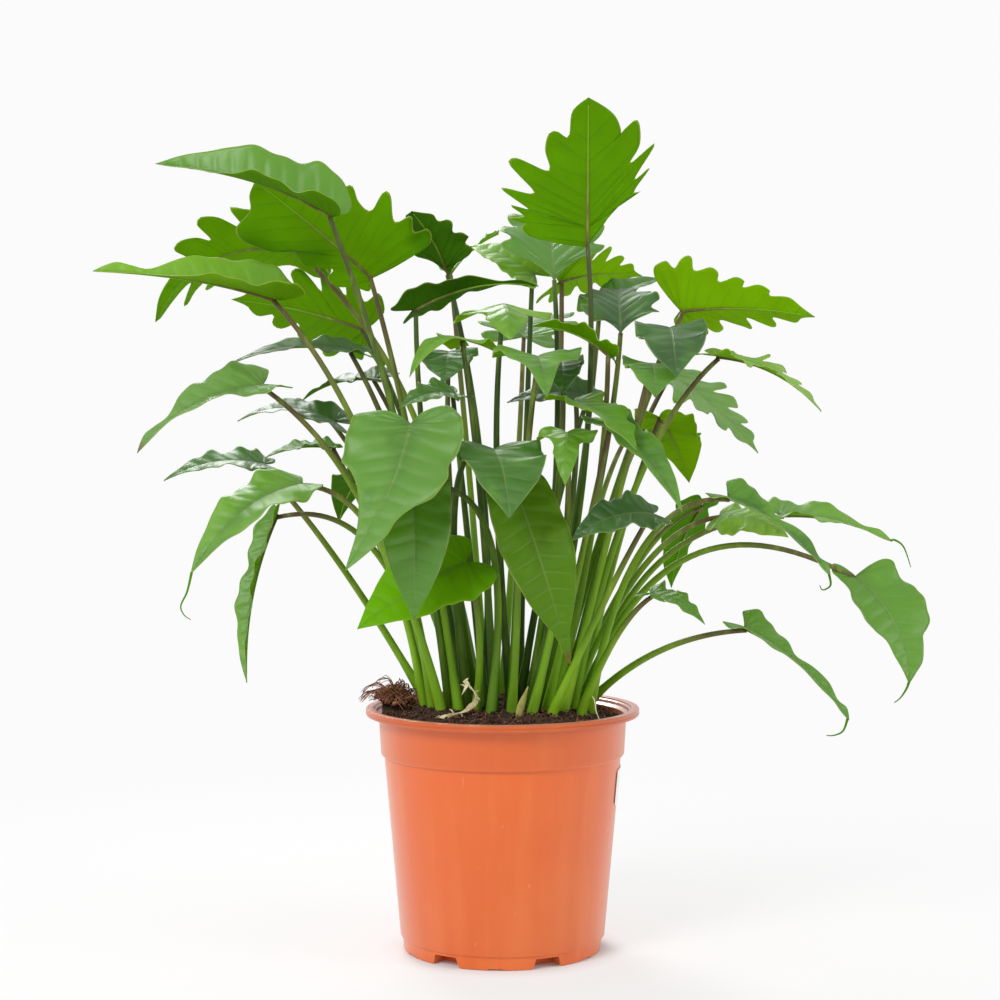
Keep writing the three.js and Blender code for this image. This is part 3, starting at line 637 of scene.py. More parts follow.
class Outline(Enum):
    """The shapes of blade on the plant."""

    HEART = Margin(0.35, (
        (-0.1, 0.24), (-0.15, 0.58), (-0.04, 0.92), (0.14, 1), (0.38, 0.92), (0.6, 0.72),
        (0.8, 0.4), (0.92, 0.16),
    ))
    ARROW = Margin(0.4, (
        (-0.13, 0.3), (-0.18, 0.66), (-0.04, 0.98), (0.12, 0.84), (0.34, 0.8), (0.6, 0.58),
        (0.82, 0.28), (0.93, 0.1),
    ))
    OVAL = Margin(0.35, (
        (-0.06, 0.4), (-0.02, 0.78), (0.12, 0.98), (0.35, 1), (0.6, 0.9), (0.78, 0.68),
        (0.9, 0.34),
    ))
    STRAP = Margin(0.3, (
        (-0.08, 0.5), (-0.04, 0.9), (0.16, 1), (0.42, 0.86), (0.68, 0.72), (0.88, 0.34),
    ))
    TAILED = Margin(0.4, (
        (-0.08, 0.34), (-0.13, 0.74), (-0.02, 1), (0.14, 0.88), (0.34, 0.82), (0.54, 0.52),
        (0.7, 0.16), (0.8, 0.2), (0.88, 0.26), (0.95, 0.14),
    ))
    TWISTED = Margin(0.4, (
        (-0.07, 0.4), (-0.12, 0.8), (0, 1), (0.15, 0.8), (0.3, 0.5), (0.42, 0.18), (0.56, 0.36),
        (0.7, 0.38), (0.84, 0.14), (0.92, 0.26), (0.97, 0.14),
    ))
    LANCE = Margin(0.35, (
        (-0.06, 0.4), (-0.03, 0.8), (0.1, 1), (0.3, 0.96), (0.5, 0.8), (0.7, 0.54),
        (0.86, 0.28), (0.94, 0.12),
    ))
    FAN = Margin(1, (
        (0.08, 0.16), (0.16, 0.42), (0.22, 0.8), (0.3, 0.98), (0.36, 0.78), (0.46, 1),
        (0.54, 0.9), (0.56, 0.7), (0.68, 0.82), (0.75, 0.7), (0.76, 0.46), (0.88, 0.44),
        (0.95, 0.2),
    ))
    SADDLE = Margin(0.25, (
        (-0.14, 0.16), (-0.32, 0.44), (-0.36, 0.74), (-0.22, 0.98), (0, 1), (0.16, 0.84),
        (0.27, 0.52), (0.42, 0.37), (0.6, 0.27), (0.78, 0.17), (0.9, 0.09),
    ))
    SIDE_LEAF = Margin(0.6, (
        (-0.1, 0.34), (-0.18, 0.7), (-0.18, 0.94), (-0.1, 1), (-0.04, 0.84), (0.01, 0.98),
        (0.08, 0.92), (0.1, 0.7), (0.22, 0.76), (0.28, 0.68), (0.28, 0.5), (0.4, 0.58),
        (0.47, 0.5), (0.46, 0.38), (0.58, 0.44), (0.66, 0.36), (0.66, 0.26), (0.8, 0.28),
        (0.9, 0.13),
    ), 0.75, (
        (-0.06, 0.3), (-0.04, 0.6), (0.08, 0.7), (0.1, 0.46), (0.24, 0.86), (0.29, 0.8),
        (0.28, 0.44), (0.46, 0.8), (0.51, 0.72), (0.48, 0.36), (0.66, 0.62), (0.7, 0.52),
        (0.68, 0.26), (0.84, 0.38), (0.9, 0.14),
    ))
    WAVY = Margin(0.45, (
        (-0.12, 0.3), (-0.15, 0.7), (-0.02, 1), (0.1, 0.74), (0.22, 0.92), (0.34, 0.64),
        (0.46, 0.76), (0.58, 0.48), (0.7, 0.5), (0.82, 0.24), (0.92, 0.12),
    ))
    LOBED = Margin(0.75, (
        (-0.08, 0.24), (-0.15, 0.55), (-0.1, 0.84), (0.01, 0.56), (0.06, 0.9), (0.14, 1),
        (0.15, 0.58), (0.28, 0.98), (0.36, 0.94), (0.34, 0.48), (0.48, 0.84), (0.56, 0.76),
        (0.53, 0.38), (0.66, 0.6), (0.73, 0.5), (0.71, 0.26), (0.82, 0.36), (0.87, 0.28),
        (0.9, 0.13),
    ))
    HOOKED = Margin(0.7, (
        (-0.08, 0.24), (-0.15, 0.55), (-0.08, 0.84), (0.04, 0.56), (0.2, 0.96), (0.31, 1),
        (0.26, 0.5), (0.42, 0.92), (0.53, 0.96), (0.46, 0.42), (0.6, 0.8), (0.72, 0.78),
        (0.64, 0.32), (0.8, 0.3), (0.92, 0.26), (0.97, 0.12),
    ))
    CURLY = Margin(0.35, (
        (-0.14, 0.2), (-0.26, 0.5), (-0.24, 0.84), (-0.08, 1), (0.08, 0.86), (0.15, 0.54),
        (0.28, 0.4), (0.44, 0.42), (0.56, 0.34), (0.7, 0.26), (0.86, 0.14),
    ))
    POINTED = Margin(0.35, (
        (-0.06, 0.4), (-0.02, 0.8), (0.12, 0.98), (0.32, 1), (0.5, 0.9), (0.64, 0.68),
        (0.75, 0.42), (0.84, 0.2), (0.93, 0.1),
    ))
    TOP_LEAF = Margin(0.55, (
        (0.02, 0.34), (0.06, 0.66), (0.12, 0.76), (0.14, 0.7), (0.17, 0.9), (0.19, 0.72),
        (0.27, 0.88), (0.24, 0.66), (0.38, 0.98), (0.35, 0.6), (0.53, 0.88), (0.58, 0.8),
        (0.5, 0.44), (0.64, 0.48), (0.75, 0.44), (0.77, 0.35), (0.73, 0.22), (0.88, 0.19),
        (0.94, 0.13),
    ), 1, (
        (0.06, 0.06), (0.14, 0.17), (0.22, 0.27), (0.31, 0.43), (0.36, 0.6), (0.36, 0.52),
        (0.52, 0.7), (0.44, 0.52), (0.68, 0.75), (0.55, 0.47), (0.68, 0.58), (0.84, 0.54),
        (0.73, 0.33), (0.76, 0.37), (0.86, 0.31), (0.93, 0.19),
    ))
    BROAD_LEAF = Margin(0.5, (
        (-0.05, 0.16), (0.03, 0.26), (0.12, 0.44), (0.2, 0.42), (0.22, 0.28), (0.36, 0.5),
        (0.5, 0.46), (0.58, 0.66), (0.76, 0.76), (0.86, 0.7), (0.88, 0.38), (0.96, 0.2),
    ), 0.75, (
        (-0.06, 0.4), (-0.1, 0.86), (-0.03, 0.98), (0.03, 0.84), (0.12, 0.98), (0.17, 0.78),
        (0.3, 0.98), (0.35, 0.95), (0.32, 0.66), (0.42, 0.64), (0.54, 0.76), (0.58, 0.48),
        (0.7, 0.56), (0.76, 0.34), (0.88, 0.3), (0.94, 0.14),
    ))
    FRONT_LEAF = Margin(0.3, (
        (-0.05, 0.36), (-0.04, 0.66), (0.04, 0.94), (0.15, 1), (0.26, 1), (0.35, 0.97),
        (0.4, 0.76), (0.5, 0.52), (0.65, 0.31), (0.78, 0.17), (0.9, 0.08),
    ), 0.4, (
        (-0.1, 0.12), (-0.16, 0.48), (-0.08, 0.82), (0.01, 0.97), (0.12, 0.96), (0.24, 0.86),
        (0.36, 0.93), (0.47, 0.84), (0.55, 0.54), (0.65, 0.36), (0.76, 0.33), (0.88, 0.18),
    ))
    FAR_LEAF = Margin(0.3, (
        (-0.12, 0.12), (-0.17, 0.3), (-0.1, 0.43), (-0.01, 0.4), (0.11, 0.45), (0.2, 0.58),
        (0.3, 0.56), (0.42, 0.6), (0.52, 0.55), (0.62, 0.36), (0.76, 0.26), (0.88, 0.13),
    ), 0.3, (
        (-0.05, 0.4), (-0.06, 0.74), (-0.01, 0.92), (0.06, 0.85), (0.14, 0.83), (0.26, 0.89),
        (0.42, 0.84), (0.56, 0.82), (0.62, 0.7), (0.67, 0.53), (0.76, 0.45), (0.87, 0.36),
        (0.93, 0.2),
    ))


@dataclass
class Leaf:
    """A leaf with its stalk.

    Attributes:
        name: The CAD node's name.
        outline: The blade's shape.
        tone: Its colours.
        base: Where the stalk leaves the compost.
        middle: A point halfway up the stalk.
        joint: Where the blade starts.
        tip: Where it ends.
        wide: The blade's half width.
        roll: How far it is turned about its midrib.
        rise: How far the midrib rises between its ends.
        fold: How far each half is folded up from flat.
        wave: How high the margin waves.
        bow: How far the midrib bows to the side.
        twist: How much more the tip is turned than the foot.
        CROWN: The height of the compost round the stalks.
        CLUMP: The radius of the clump of stalks.
        THICK: How thick the blade is.
        WAVES: How many waves its margin has.
        SHIFT: How far the waves of the other half are shifted, in radians.
        FRILLS: How many frills lie on them.
        FRILL: How high a frill is.
        STALK_FOOT: The stalk's radius in the compost.
        STALK_NECK: Its radius at the blade.
        STALK_TAPER: How much wider it is above the compost than at the blade.
        STALK_SHEATH: How much the sheath at its foot adds.
        STALK_ROUND: How much of the CAD stalk's radius the rounder one here has.
        ROWS: How many rows of faces a blade has.
        COLUMNS: How many columns each half has.
    """

    name: str
    outline: Outline
    tone: Tone
    base: Point2
    middle: Point3
    joint: Point3
    tip: Point3
    wide: float
    roll: float
    rise: float
    fold: float
    wave: float
    bow: float = 0.0
    twist: float = 0.0

    CROWN = 170.0
    CLUMP = 62.0
    THICK = 0.6
    WAVES = 2.3
    SHIFT = 2.2
    FRILLS = 6.1
    FRILL = 1.3
    STALK_FOOT = 4.0
    STALK_NECK = 1.7
    STALK_TAPER = 1.3
    STALK_SHEATH = 1.0
    STALK_ROUND = 0.94
    ROWS = 84
    COLUMNS = 10

    def __post_init__(self) -> None:
        """Works out the blade's own axes."""
        self.start = Vector(self.joint)
        ahead = Vector(self.tip) - self.start
        self.length = ahead.length
        self.forward = ahead.normalized()
        self.plain_top = (UP - self.forward * self.forward.z).normalized()
        self.plain_side = self.forward.cross(self.plain_top)
        self.veins = 7.0 + 0.06 * self.length

    def top(self, along: float) -> Vector:
        """Finds the direction that the upper face looks in.

        Args:
            along: Where, in blade lengths.

        Returns:
            The direction.
        """
        turn = math.radians(self.roll + self.twist * along)
        return self.plain_top * math.cos(turn) + self.plain_side * math.sin(turn)

    def surface(self, along: float, out: float) -> Vector:
        """Finds a point of the blade's middle surface.

        Args:
            along: How far from the stalk, in blade lengths.
            out: How far from the midrib.

        Returns:
            The point.
        """
        top = self.top(along)
        side = self.forward.cross(top)
        reach = abs(out)
        share = reach / self.wide
        arch = 4 * self.rise * along * (1 - along) if along > 0 else 4 * self.rise * along
        bend = 4 * self.bow * along * (1 - along) if along > 0 else 0.0
        phase = 0 if out > 0 else self.SHIFT
        ripple = self.wave * share * share * math.sin(math.tau * self.WAVES * along + phase)
        frills = math.sin(math.tau * self.FRILLS * along + 1.7 * phase + self.length)
        ripple += self.FRILL * share**3 * frills
        fold = math.radians(self.fold)
        lift = arch + reach * math.sin(fold) + ripple
        aside = out * math.cos(fold) + bend
        return self.start + self.forward * (along * self.length) + side * aside + top * lift

    def rows(self, half: int) -> list[tuple[float, Vector]]:
        """Lays out the side veins of one half.

        Args:
            half: 1 or -1.

        Returns:
            Each vein's foot on the midrib in blade lengths, and its end on the margin in
            millimetres along and out.
        """
        shape = self.outline.value
        second = half < 0 and bool(shape.other)
        points = shape.other if second else shape.points
        lean = shape.other_lean if second else shape.lean
        corners = [Vector((a * self.length, o * self.wide)) for a, o in ((0.0, 0.0), *points, (1.0, 0.0))]
        ends = rounded(corners, self.ROWS)
        foot = 0.0
        found = []
        for end, onward in zip(ends, [*ends[1:], ends[-1]]):
            reach = end.x - lean * end.y
            if onward.y > end.y and onward.x > end.x:
                behind = end.x - end.y * (onward.x - end.x) / (onward.y - end.y)
                reach = max(reach, behind)
            foot = max(foot, min(reach / self.length, 0.97))
            found.append((foot, end))
        found[-1] = (1.0, corners[-1])
        return found

    def blade(self, draft: Draft, seed: float) -> None:
        """Adds the blade's two faces and its rim.

        Args:
            draft: Where they go. Finish 0 is the upper face and 1 the lower.
            seed: A number from 0 to 1 that marks this leaf.
        """
        halves = {half: self.rows(half) for half in (1, -1)}
        feet = [(a[0] + b[0]) / 2 for a, b in zip(halves[1], halves[-1])]
        columns = range(self.COLUMNS + 1)
        for half, rows in halves.items():
            flat: list[list[Vector]] = []
            marks: list[list[Mark]] = []
            for i, (foot, (_, end)) in enumerate(zip(feet, rows)):
                line = i / self.ROWS * self.veins
                shares = [j / self.COLUMNS for j in columns]
                spots = [(foot + (end.x / self.length - foot) * s, end.y * s) for s in shares]
                flat.append([self.surface(a, half * o) for a, o in spots])
                marks.append([(line, s, a, seed) for s, (a, _) in zip(shares, spots)])
            upper: list[list[Vector]] = []
            lower: list[list[Vector]] = []
            for i, row in enumerate(flat):
                up_row, low_row = [], []
                pillow = abs(math.sin(math.pi * marks[i][0][0]))
                for j, point in enumerate(row):
                    share = j / self.COLUMNS
                    onward = flat[min(i + 1, self.ROWS)][j] - flat[max(i - 1, 0)][j]
                    outward = row[min(j + 1, self.COLUMNS)] - row[max(j - 1, 0)]
                    normal = outward.cross(onward) * half
                    normal = normal.normalized() if j and normal.length > 1e-6 else self.top(marks[i][j][2])
                    swell = math.sin(math.pi * min(share * 1.15, 1.0))
                    quilt = 0.5 * (pillow - 0.6) * swell if 0 < j else -0.2
                    thick = self.THICK * (1.0 if j < self.COLUMNS else 0.6)
                    up_row.append(point + normal * (quilt + thick / 2))
                    low_row.append(point + normal * (quilt - thick / 2))
                upper.append(up_row)
                lower.append(low_row)
            draft.grid(upper, marks, 0, half > 0)
            draft.grid(lower, marks, 1, half < 0)
            rim = [[a[-1], b[-1]] for a, b in zip(upper, lower)]
            draft.grid(rim, [[m[-1], m[-1]] for m in marks], 0, half > 0)

    def midrib(self, draft: Draft) -> None:
        """Adds the raised midrib under the blade, from its tip to the stalk.

        Args:
            draft: Where it goes, with finish 2.
        """
        steps = 30
        path, radii = [], []
        for i in range(steps + 1):
            along = 0.95 * i / steps
            radius = 0.85 * (1 - along) + 0.2
            radii.append(radius)
            path.append(self.surface(along, 0.0) - self.top(along) * (0.2 + 0.8 * radius))
        draft.tube(path[::-1], radii[::-1], 8, 2, 0.8)

    def stalk(self, draft: Draft, seed: float) -> None:
        """Adds the stalk.

        Args:
            draft: Where it goes, with finish 2.
            seed: A number from 0 to 1 that marks this leaf.
        """
        base = Vector((*self.base, self.CROWN))
        end = self.start + self.forward * 2 - self.top(0.0) * 0.9
        elbow = Vector(self.middle) * 2 - base / 2 - end / 2
        steps = 30
        path = [base - UP * 10] + [bezier(base, elbow, end, i / steps) for i in range(steps + 1)]
        radii = [self.STALK_FOOT]
        for i in range(steps + 1):
            share = i / steps
            sheath = self.STALK_SHEATH * (1 - smoothstep(share, 0.0, 0.16))
            radii.append(self.STALK_NECK + self.STALK_TAPER * (1 - share) + sheath)
        # The mark carries how far out the stalk stands, so that the material paints shade on the stalks in
        # the clump's middle.
        outer = min(math.hypot(*self.base) / self.CLUMP, 1.0)
        draft.tube(path, [r * self.STALK_ROUND for r in radii], 12, 2, 0.65 * outer + 0.35 * seed)

    def build(
        self, finishes: Sequence[bpy.types.Material], seed: float, thread: Sequence[Point3] = ()
    ) -> bpy.types.Object:
        """Makes the leaf.

        Args:
            finishes: The upper face's, the lower face's and the stalk's material.
            seed: A number from 0 to 1 that marks this leaf.
            thread: The points that the thread at its tip passes, if it has one.

        Returns:
            The leaf's object.
        """
        draft = Draft()
        self.blade(draft, seed)
        self.midrib(draft)
        self.stalk(draft, seed)
        if thread:
            path = rounded([self.surface(0.985, 0.0), *(Vector(point) for point in thread)], 20)
            draft.tube(path, [0.9 - 0.03 * i for i in range(21)], 6, 1, seed)
        return draft.build(self.name.replace("leaf", "blade"), finishes, 1e-6)


@dataclass
class Foliage:
    """The clump of leaves.

    Attributes:
        leaves: Each leaf.
        threads: The points that the dry thread at the tip of some leaves passes, from the tip.
        blade_finish: The look of the blades.
        stalk_finish: The look of the stalks.
    """

    leaves: list[Leaf] = field(
        default_factory=lambda: [
            Leaf("leaf_top", Outline.TOP_LEAF, Tone.FRESH, (24, -20), (55, -30, 331), (57, -40, 483),
                 (56, -76, 578), 60, 0, 3, 8, 2),
            Leaf("leaf_fan_behind", Outline.FAN, Tone.FRESH, (24, 4), (37, 4, 325), (36, 8, 464),
                 (33, 93, 522), 38, 0, 6, 10, 3),
            Leaf("leaf_lime_right", Outline.LOBED, Tone.LIME, (24, 28), (38, 40, 327), (40, 44, 465),
                 (102, 84, 472), 28, -40, 5, 8, 2),
            Leaf("leaf_pale_left", Outline.ARROW, Tone.LIME, (12, 28), (16, 44, 326), (23, 50, 471),
                 (-25, 80, 493), 25, -24, 5, 8, 2),
            Leaf("leaf_pale_back", Outline.FAN, Tone.FRESH, (-12, 52), (-24, 84, 323), (-40, 106, 474),
                 (-3, 152, 508), 24, -20, 4, 8, 2),
            Leaf("leaf_fan_under", Outline.FAN, Tone.DEEP, (-12, 4), (-14, 5, 326), (-37, 10, 467),
                 (-62, -22, 509), 27, 0, 4, 10, 3),
            Leaf("leaf_long_dark", Outline.TAILED, Tone.DEEP, (-24, 4), (-50, -12, 312), (-61, -22, 442),
                 (24, -44, 457), 19, -22, 9, 10, 3),
            Leaf("leaf_big_left", Outline.BROAD_LEAF, Tone.FRESH, (-36, 4), (-61, 6, 334), (-90, 0, 465),
                 (-166, -42, 527), 54, 48, 4, 2, 3),
            Leaf("leaf_high_left", Outline.LANCE, Tone.FRESH, (-36, -20), (-66, -50, 344),
                 (-111, -81, 500), (-230, -58, 537), 27, -16, 9, 40, 4, 0, -40),
            Leaf("leaf_lobed_left", Outline.HOOKED, Tone.FRESH, (-36, 28), (-55, 30, 350),
                 (-144, 40, 488), (-240, 0, 435), 40, 40, 26, 8, 3),
            Leaf("leaf_edge_left", Outline.TAILED, Tone.LIME, (-48, -20), (-86, -52, 334),
                 (-150, -60, 447), (-266, -90, 464), 26, -18, 5, 38, 3, 0, -30),
            Leaf("leaf_lobed_mid_left", Outline.LOBED, Tone.FRESH, (-24, 28), (-56, 56, 320),
                 (-99, 66, 432), (-198, 86, 455), 44, 44, 5, 6, 3),
            Leaf("leaf_dark_left", Outline.WAVY, Tone.DEEP, (-30, 16), (-63, 12, 311), (-104, 8, 415),
                 (-190, 0, 405), 22, -15, 8, 8, 3),
            Leaf("leaf_pale_long_left", Outline.TAILED, Tone.DRY_TIP, (-54, -8), (-93, -40, 307),
                 (-160, -50, 391), (-238, -90, 346), 24, -28, 12, 16, 4, 0, 16),
            Leaf("leaf_back_left_a", Outline.ARROW, Tone.DEEP, (-30, 40), (-72, 55, 281),
                 (-122, 70, 366), (-194, 86, 366), 22, -18, 10, 10, 3),
            Leaf("leaf_back_left_b", Outline.ARROW, Tone.DEEP, (-18, 40), (-45, 62, 288), (-92, 69, 397),
                 (-149, 109, 381), 20, -15, 6, 10, 3),
            Leaf("leaf_low_left_a", Outline.STRAP, Tone.GREEN, (-48, 28), (-83, 32, 268),
                 (-118, 30, 348), (-166, 20, 341), 13, -10, 4, 10, 2),
            Leaf("leaf_low_left_b", Outline.WAVY, Tone.DEEP, (-54, 16), (-114, 15, 266), (-168, 20, 336),
                 (-235, 0, 325), 20, -22, 8, 8, 3),
            Leaf("leaf_big_low_left", Outline.LANCE, Tone.FRESH, (-42, -32), (-83, -55, 287),
                 (-133, -60, 325), (-201, -110, 268), 23, -20, 14, 8, 4),
            Leaf("leaf_hanging_left", Outline.OVAL, Tone.FRESH, (-48, 4), (-88, -18, 278),
                 (-154, -25, 303), (-171, -60, 192), 10, 25, 6, 38, 2, 3),
            Leaf("leaf_heart_front", Outline.FRONT_LEAF, Tone.GREEN, (-30, -32), (-46, -42, 274),
                 (-60, -85, 365), (-99, -150, 273), 40, -14, 3, 6, 3, -7),
            Leaf("leaf_heart_second", Outline.HEART, Tone.FRESH, (-8, -44), (-10, -54, 292),
                 (-59, -84, 325), (-57, -118, 239), 25, -6, 8, 6, 3),
            Leaf("leaf_lime_low", Outline.HEART, Tone.BACKLIT, (-18, -32), (-16, -54, 229), (-24, -60, 273),
                 (-95, -92, 231), 29, -44, 6, 4, 3),
            Leaf("leaf_heart_mid", Outline.HEART, Tone.GREEN, (-24, -20), (-32, -38, 313),
                 (-6, -75, 348), (4, -125, 305), 31, -4, 8, 12, 4),
            Leaf("leaf_curly_mid", Outline.CURLY, Tone.LIME, (20, -44), (40, -62, 272), (42, -78, 359),
                 (40, -110, 325), 21, 0, 5, -14, 6),
            Leaf("leaf_pointed_mid", Outline.POINTED, Tone.TIRED, (6, -44), (10, -64, 252),
                 (8, -72, 323), (44, -104, 208), 24, 38, 8, 8, 3),
            Leaf("leaf_right_low", Outline.HEART, Tone.DEEP, (34, -44), (68, -67, 248), (98, -84, 306),
                 (44, -100, 289), 20, -30, 8, 6, 3),
            Leaf("leaf_blue_right", Outline.ARROW, Tone.GREEN, (30, -32), (53, -50, 276), (70, -68, 364),
                 (115, -118, 308), 18, 10, 8, 18, 3),
            Leaf("leaf_bright_edge", Outline.WAVY, Tone.LIME, (18, -32), (44, -34, 290), (48, -58, 379),
                 (86, -110, 348), 24, 0, 6, 12, 4),
            Leaf("leaf_yellow_right", Outline.HEART, Tone.LIME, (54, 16), (84, 14, 290), (109, 10, 369),
                 (134, 52, 322), 22, 0, 5, 8, 3),
            Leaf("leaf_arch_a", Outline.TWISTED, Tone.GREEN, (60, -20), (95, -45, 282), (150, -60, 316),
                 (213, -95, 266), 18, 18, 8, 20, 2),
            Leaf("leaf_arch_b", Outline.LANCE, Tone.LIME, (48, 4), (97, -12, 266), (149, -15, 302),
                 (193, -40, 288), 21, 26, 6, -8, 3),
            Leaf("leaf_arch_far", Outline.TAILED, Tone.FRESH, (60, 28), (110, 10, 268), (194, 5, 301),
                 (273, 15, 282), 20, 12, 6, 16, 3, 0, 25),
            Leaf("leaf_heart_far", Outline.FAR_LEAF, Tone.FRESH, (54, -8), (128, -25, 274),
                 (240, -30, 261), (271, -62, 191), 32, 25, 6, 6, 4, -7),
            Leaf("leaf_arch_low", Outline.TWISTED, Tone.FRESH, (60, 4), (108, -20, 209), (164, -40, 227),
                 (229, -75, 169), 19, 10, 7, 16, 3),
            Leaf("leaf_small_low", Outline.WAVY, Tone.FRESH, (54, -32), (77, -46, 222), (100, -50, 251),
                 (133, -80, 233), 13, 14, 5, 10, 3),
            Leaf("leaf_lobed_right", Outline.SIDE_LEAF, Tone.LIME, (36, 4), (80, -14, 326),
                 (124, 14, 443), (215, -6, 438), 40, -45, 6, 20, 3),
            Leaf("leaf_vee_right", Outline.FAN, Tone.DEEP, (30, -8), (65, -12, 314), (80, -30, 426),
                 (81, 30, 459), 28, 0, 6, 10, 3),
            Leaf("leaf_back_right_a", Outline.ARROW, Tone.GREEN, (30, 16), (54, 29, 314), (67, 36, 446),
                 (116, 56, 468), 18, 24, 5, 12, 3),
            Leaf("leaf_dark_right", Outline.HEART, Tone.DEEP, (42, -8), (80, -24, 320), (112, -44, 429),
                 (113, -90, 395), 25, 0, 6, 8, 4),
            Leaf("leaf_left_pointing", Outline.STRAP, Tone.FRESH, (36, -20), (62, -30, 300),
                 (72, -62, 409), (20, -52, 430), 16, 16, 6, 14, 3),
            Leaf("leaf_fold_right", Outline.HEART, Tone.FRESH, (42, -32), (74, -47, 301), (99, -50, 405),
                 (98, -104, 382), 20, -6, 6, 2, 3),
            Leaf("leaf_thin_right", Outline.LOBED, Tone.LIME, (48, -20), (90, -42, 323), (143, -52, 410),
                 (210, -72, 373), 26, 4, 8, 8, 3),
            Leaf("leaf_lobed_low_right", Outline.LOBED, Tone.FRESH, (36, 28), (76, 38, 302),
                 (118, 44, 400), (179, 16, 344), 37, 10, 4, 4, 3),
            Leaf("leaf_curly_lime", Outline.CURLY, Tone.LIME, (-6, -32), (-14, -43, 305),
                 (-26, -60, 421), (-60, -104, 395), 21, -6, 12, -6, 4),
            Leaf("leaf_curly_top", Outline.CURLY, Tone.LIME, (6, -8), (-4, -26, 331), (1, -25, 446),
                 (5, -68, 420), 36, 0, 5, -20, 4),
            Leaf("leaf_heart_top", Outline.SADDLE, Tone.FRESH, (6, -32), (13, -43, 302), (23, -74, 409),
                 (28, -112, 382), 29, 0, 5, 6, 4),
            Leaf("leaf_dark_heart", Outline.HEART, Tone.DEEP, (18, -8), (37, -34, 313), (40, -36, 407),
                 (40, -71, 384), 15, 0, 5, 10, 2),
            Leaf("leaf_inner_left_a", Outline.HEART, Tone.DEEP, (-18, 16), (-35, 5, 294), (-37, -4, 414),
                 (-39, -22, 393), 21, 0, 4, 6, 3),
            Leaf("leaf_inner_left_b", Outline.WAVY, Tone.GREEN, (-12, -20), (-24, -20, 288),
                 (-32, -37, 385), (-69, -61, 375), 18, -24, 5, 10, 3),
            Leaf("leaf_hang_right", Outline.HEART, Tone.GREEN, (48, 28), (98, 35, 268), (142, 40, 306),
                 (122, 60, 246), 22, 0, 6, 8, 3),
            Leaf("leaf_inner_low", Outline.HEART, Tone.DEEP, (12, 4), (34, -8, 292), (61, -12, 384),
                 (3, -14, 379), 15, -30, 5, 8, 3),
            Leaf("leaf_back_high", Outline.LOBED, Tone.GREEN, (0, 52), (10, 90, 310), (16, 150, 430),
                 (30, 235, 445), 38, 6, 10, 6, 3),
            Leaf("leaf_back_wide", Outline.LOBED, Tone.GREEN, (44, 44), (67, 80, 290), (96, 130, 360),
                 (146, 205, 330), 36, 10, 12, 6, 4),
            Leaf("leaf_back_deep", Outline.ARROW, Tone.DEEP, (-24, 52), (-60, 95, 270), (-90, 140, 330),
                 (-130, 215, 285), 30, -10, 12, 8, 4),
        ]
    )
    threads: dict[str, tuple[Point3, ...]] = field(
        default_factory=lambda: {
            "leaf_big_low_left": (
                (-203, -111, 257), (-207, -112, 248), (-205, -111, 242), (-201, -110, 239),
            ),
            "leaf_arch_far": ((275, 14, 283), (281, 13, 278), (286, 13, 264)),
            "leaf_arch_low": ((225, -76, 162), (219, -76, 159), (214, -76, 159)),
            "leaf_heart_far": ((269, -63, 188), (265, -63, 182), (261, -63, 179)),
            "leaf_arch_a": ((213, -96, 260), (208, -96, 257), (206, -96, 260)),
        }
    )
    blade_finish: BladeFinish = BladeFinish()
    stalk_finish: StalkFinish = StalkFinish()

    def slot(self, tone: Tone) -> str:
        """Names the material slot of a tone."""
        slots = {Tone.LIME: "leaf_lime", Tone.BACKLIT: "leaf_lime", Tone.DEEP: "leaf_dark"}
        return slots.get(tone, "leaf_green")

    def build(self) -> None:
        """Makes every leaf and hides the CAD leaf that it stands for."""
        stalk = self.stalk_finish.make()
        faces = {tone: [self.blade_finish.make(tone, upper) for upper in (True, False)] for tone in Tone}
        chance = random.Random(7)
        for leaf in self.leaves:
            thread = self.threads.get(leaf.name, ())
            piece = leaf.build([*faces[leaf.tone], stalk], chance.random(), thread)
            settle(piece, self.slot(leaf.tone), leaf.name)


@dataclass(frozen=True)
class PotPlastic:
    """Terracotta-coloured plastic with fine handling marks.

    Attributes:
        body: The plastic.
        faded: Where it has faded or picked up dust.
        scuff: A fine scratch.
        lip: The darker colour of the painted shade on the collar and the rim, under the leaves.
        roughness: How dull it is.
    """

    body: Colour = (219, 96, 24)
    faded: Colour = (225, 110, 42)
    scuff: Colour = (240, 160, 118)
    lip: Colour = (158, 66, 18)
    roughness: float = 0.34

    def make(self) -> bpy.types.Material:
        """Makes the material.

        Returns:
            The material.
        """
        recipe = Recipe("pot_plastic")
        cloud = recipe.noise(9, 4)
        streak = recipe.noise(60, 3, (1.0, 1.0, 0.06))
        mottle = recipe.math("MULTIPLY_ADD", streak, 0.5, recipe.math("MULTIPLY", cloud, 0.5))
        body = recipe.mix(recipe.ramp(mottle, 0.42, 0.66), self.body, self.faded)
        marks = recipe.ramp(recipe.noise(210, 5, (1.0, 1.0, 0.35)), 0.69, 0.74)
        body = recipe.mix(recipe.math("MULTIPLY", marks, 0.25), body, self.scuff)
        high, _ = recipe.marks("place")
        # Painted shade: the collar is darkened a little and the rim more towards the lip colour.
        body = recipe.mix(recipe.ramp(high, 0.8, 0.83, 0.0, 0.12), body, self.lip)
        body = recipe.mix(recipe.ramp(high, 0.955, 0.975, 0.0, 0.4), body, self.lip)
        grain = recipe.noise(1400, 2)
        shine = recipe.node(
            "BsdfPrincipled",
            {
                "Base Color": body,
                "Roughness": recipe.ramp(cloud, 0.3, 0.7, self.roughness - 0.05, self.roughness + 0.06),
                "Specular IOR Level": 0.5,
                "Sheen Weight": 0.3,
                "Sheen Roughness": 0.35,
                "Sheen Tint": linear((255, 232, 222)),
                "Coat Weight": 0.35,
                "Coat Roughness": 0.3,
                "Normal": recipe.bump(recipe.math("MULTIPLY_ADD", streak, 0.6, grain), 0.25, 0.12),
            },
        )
        return recipe.finish(shine)


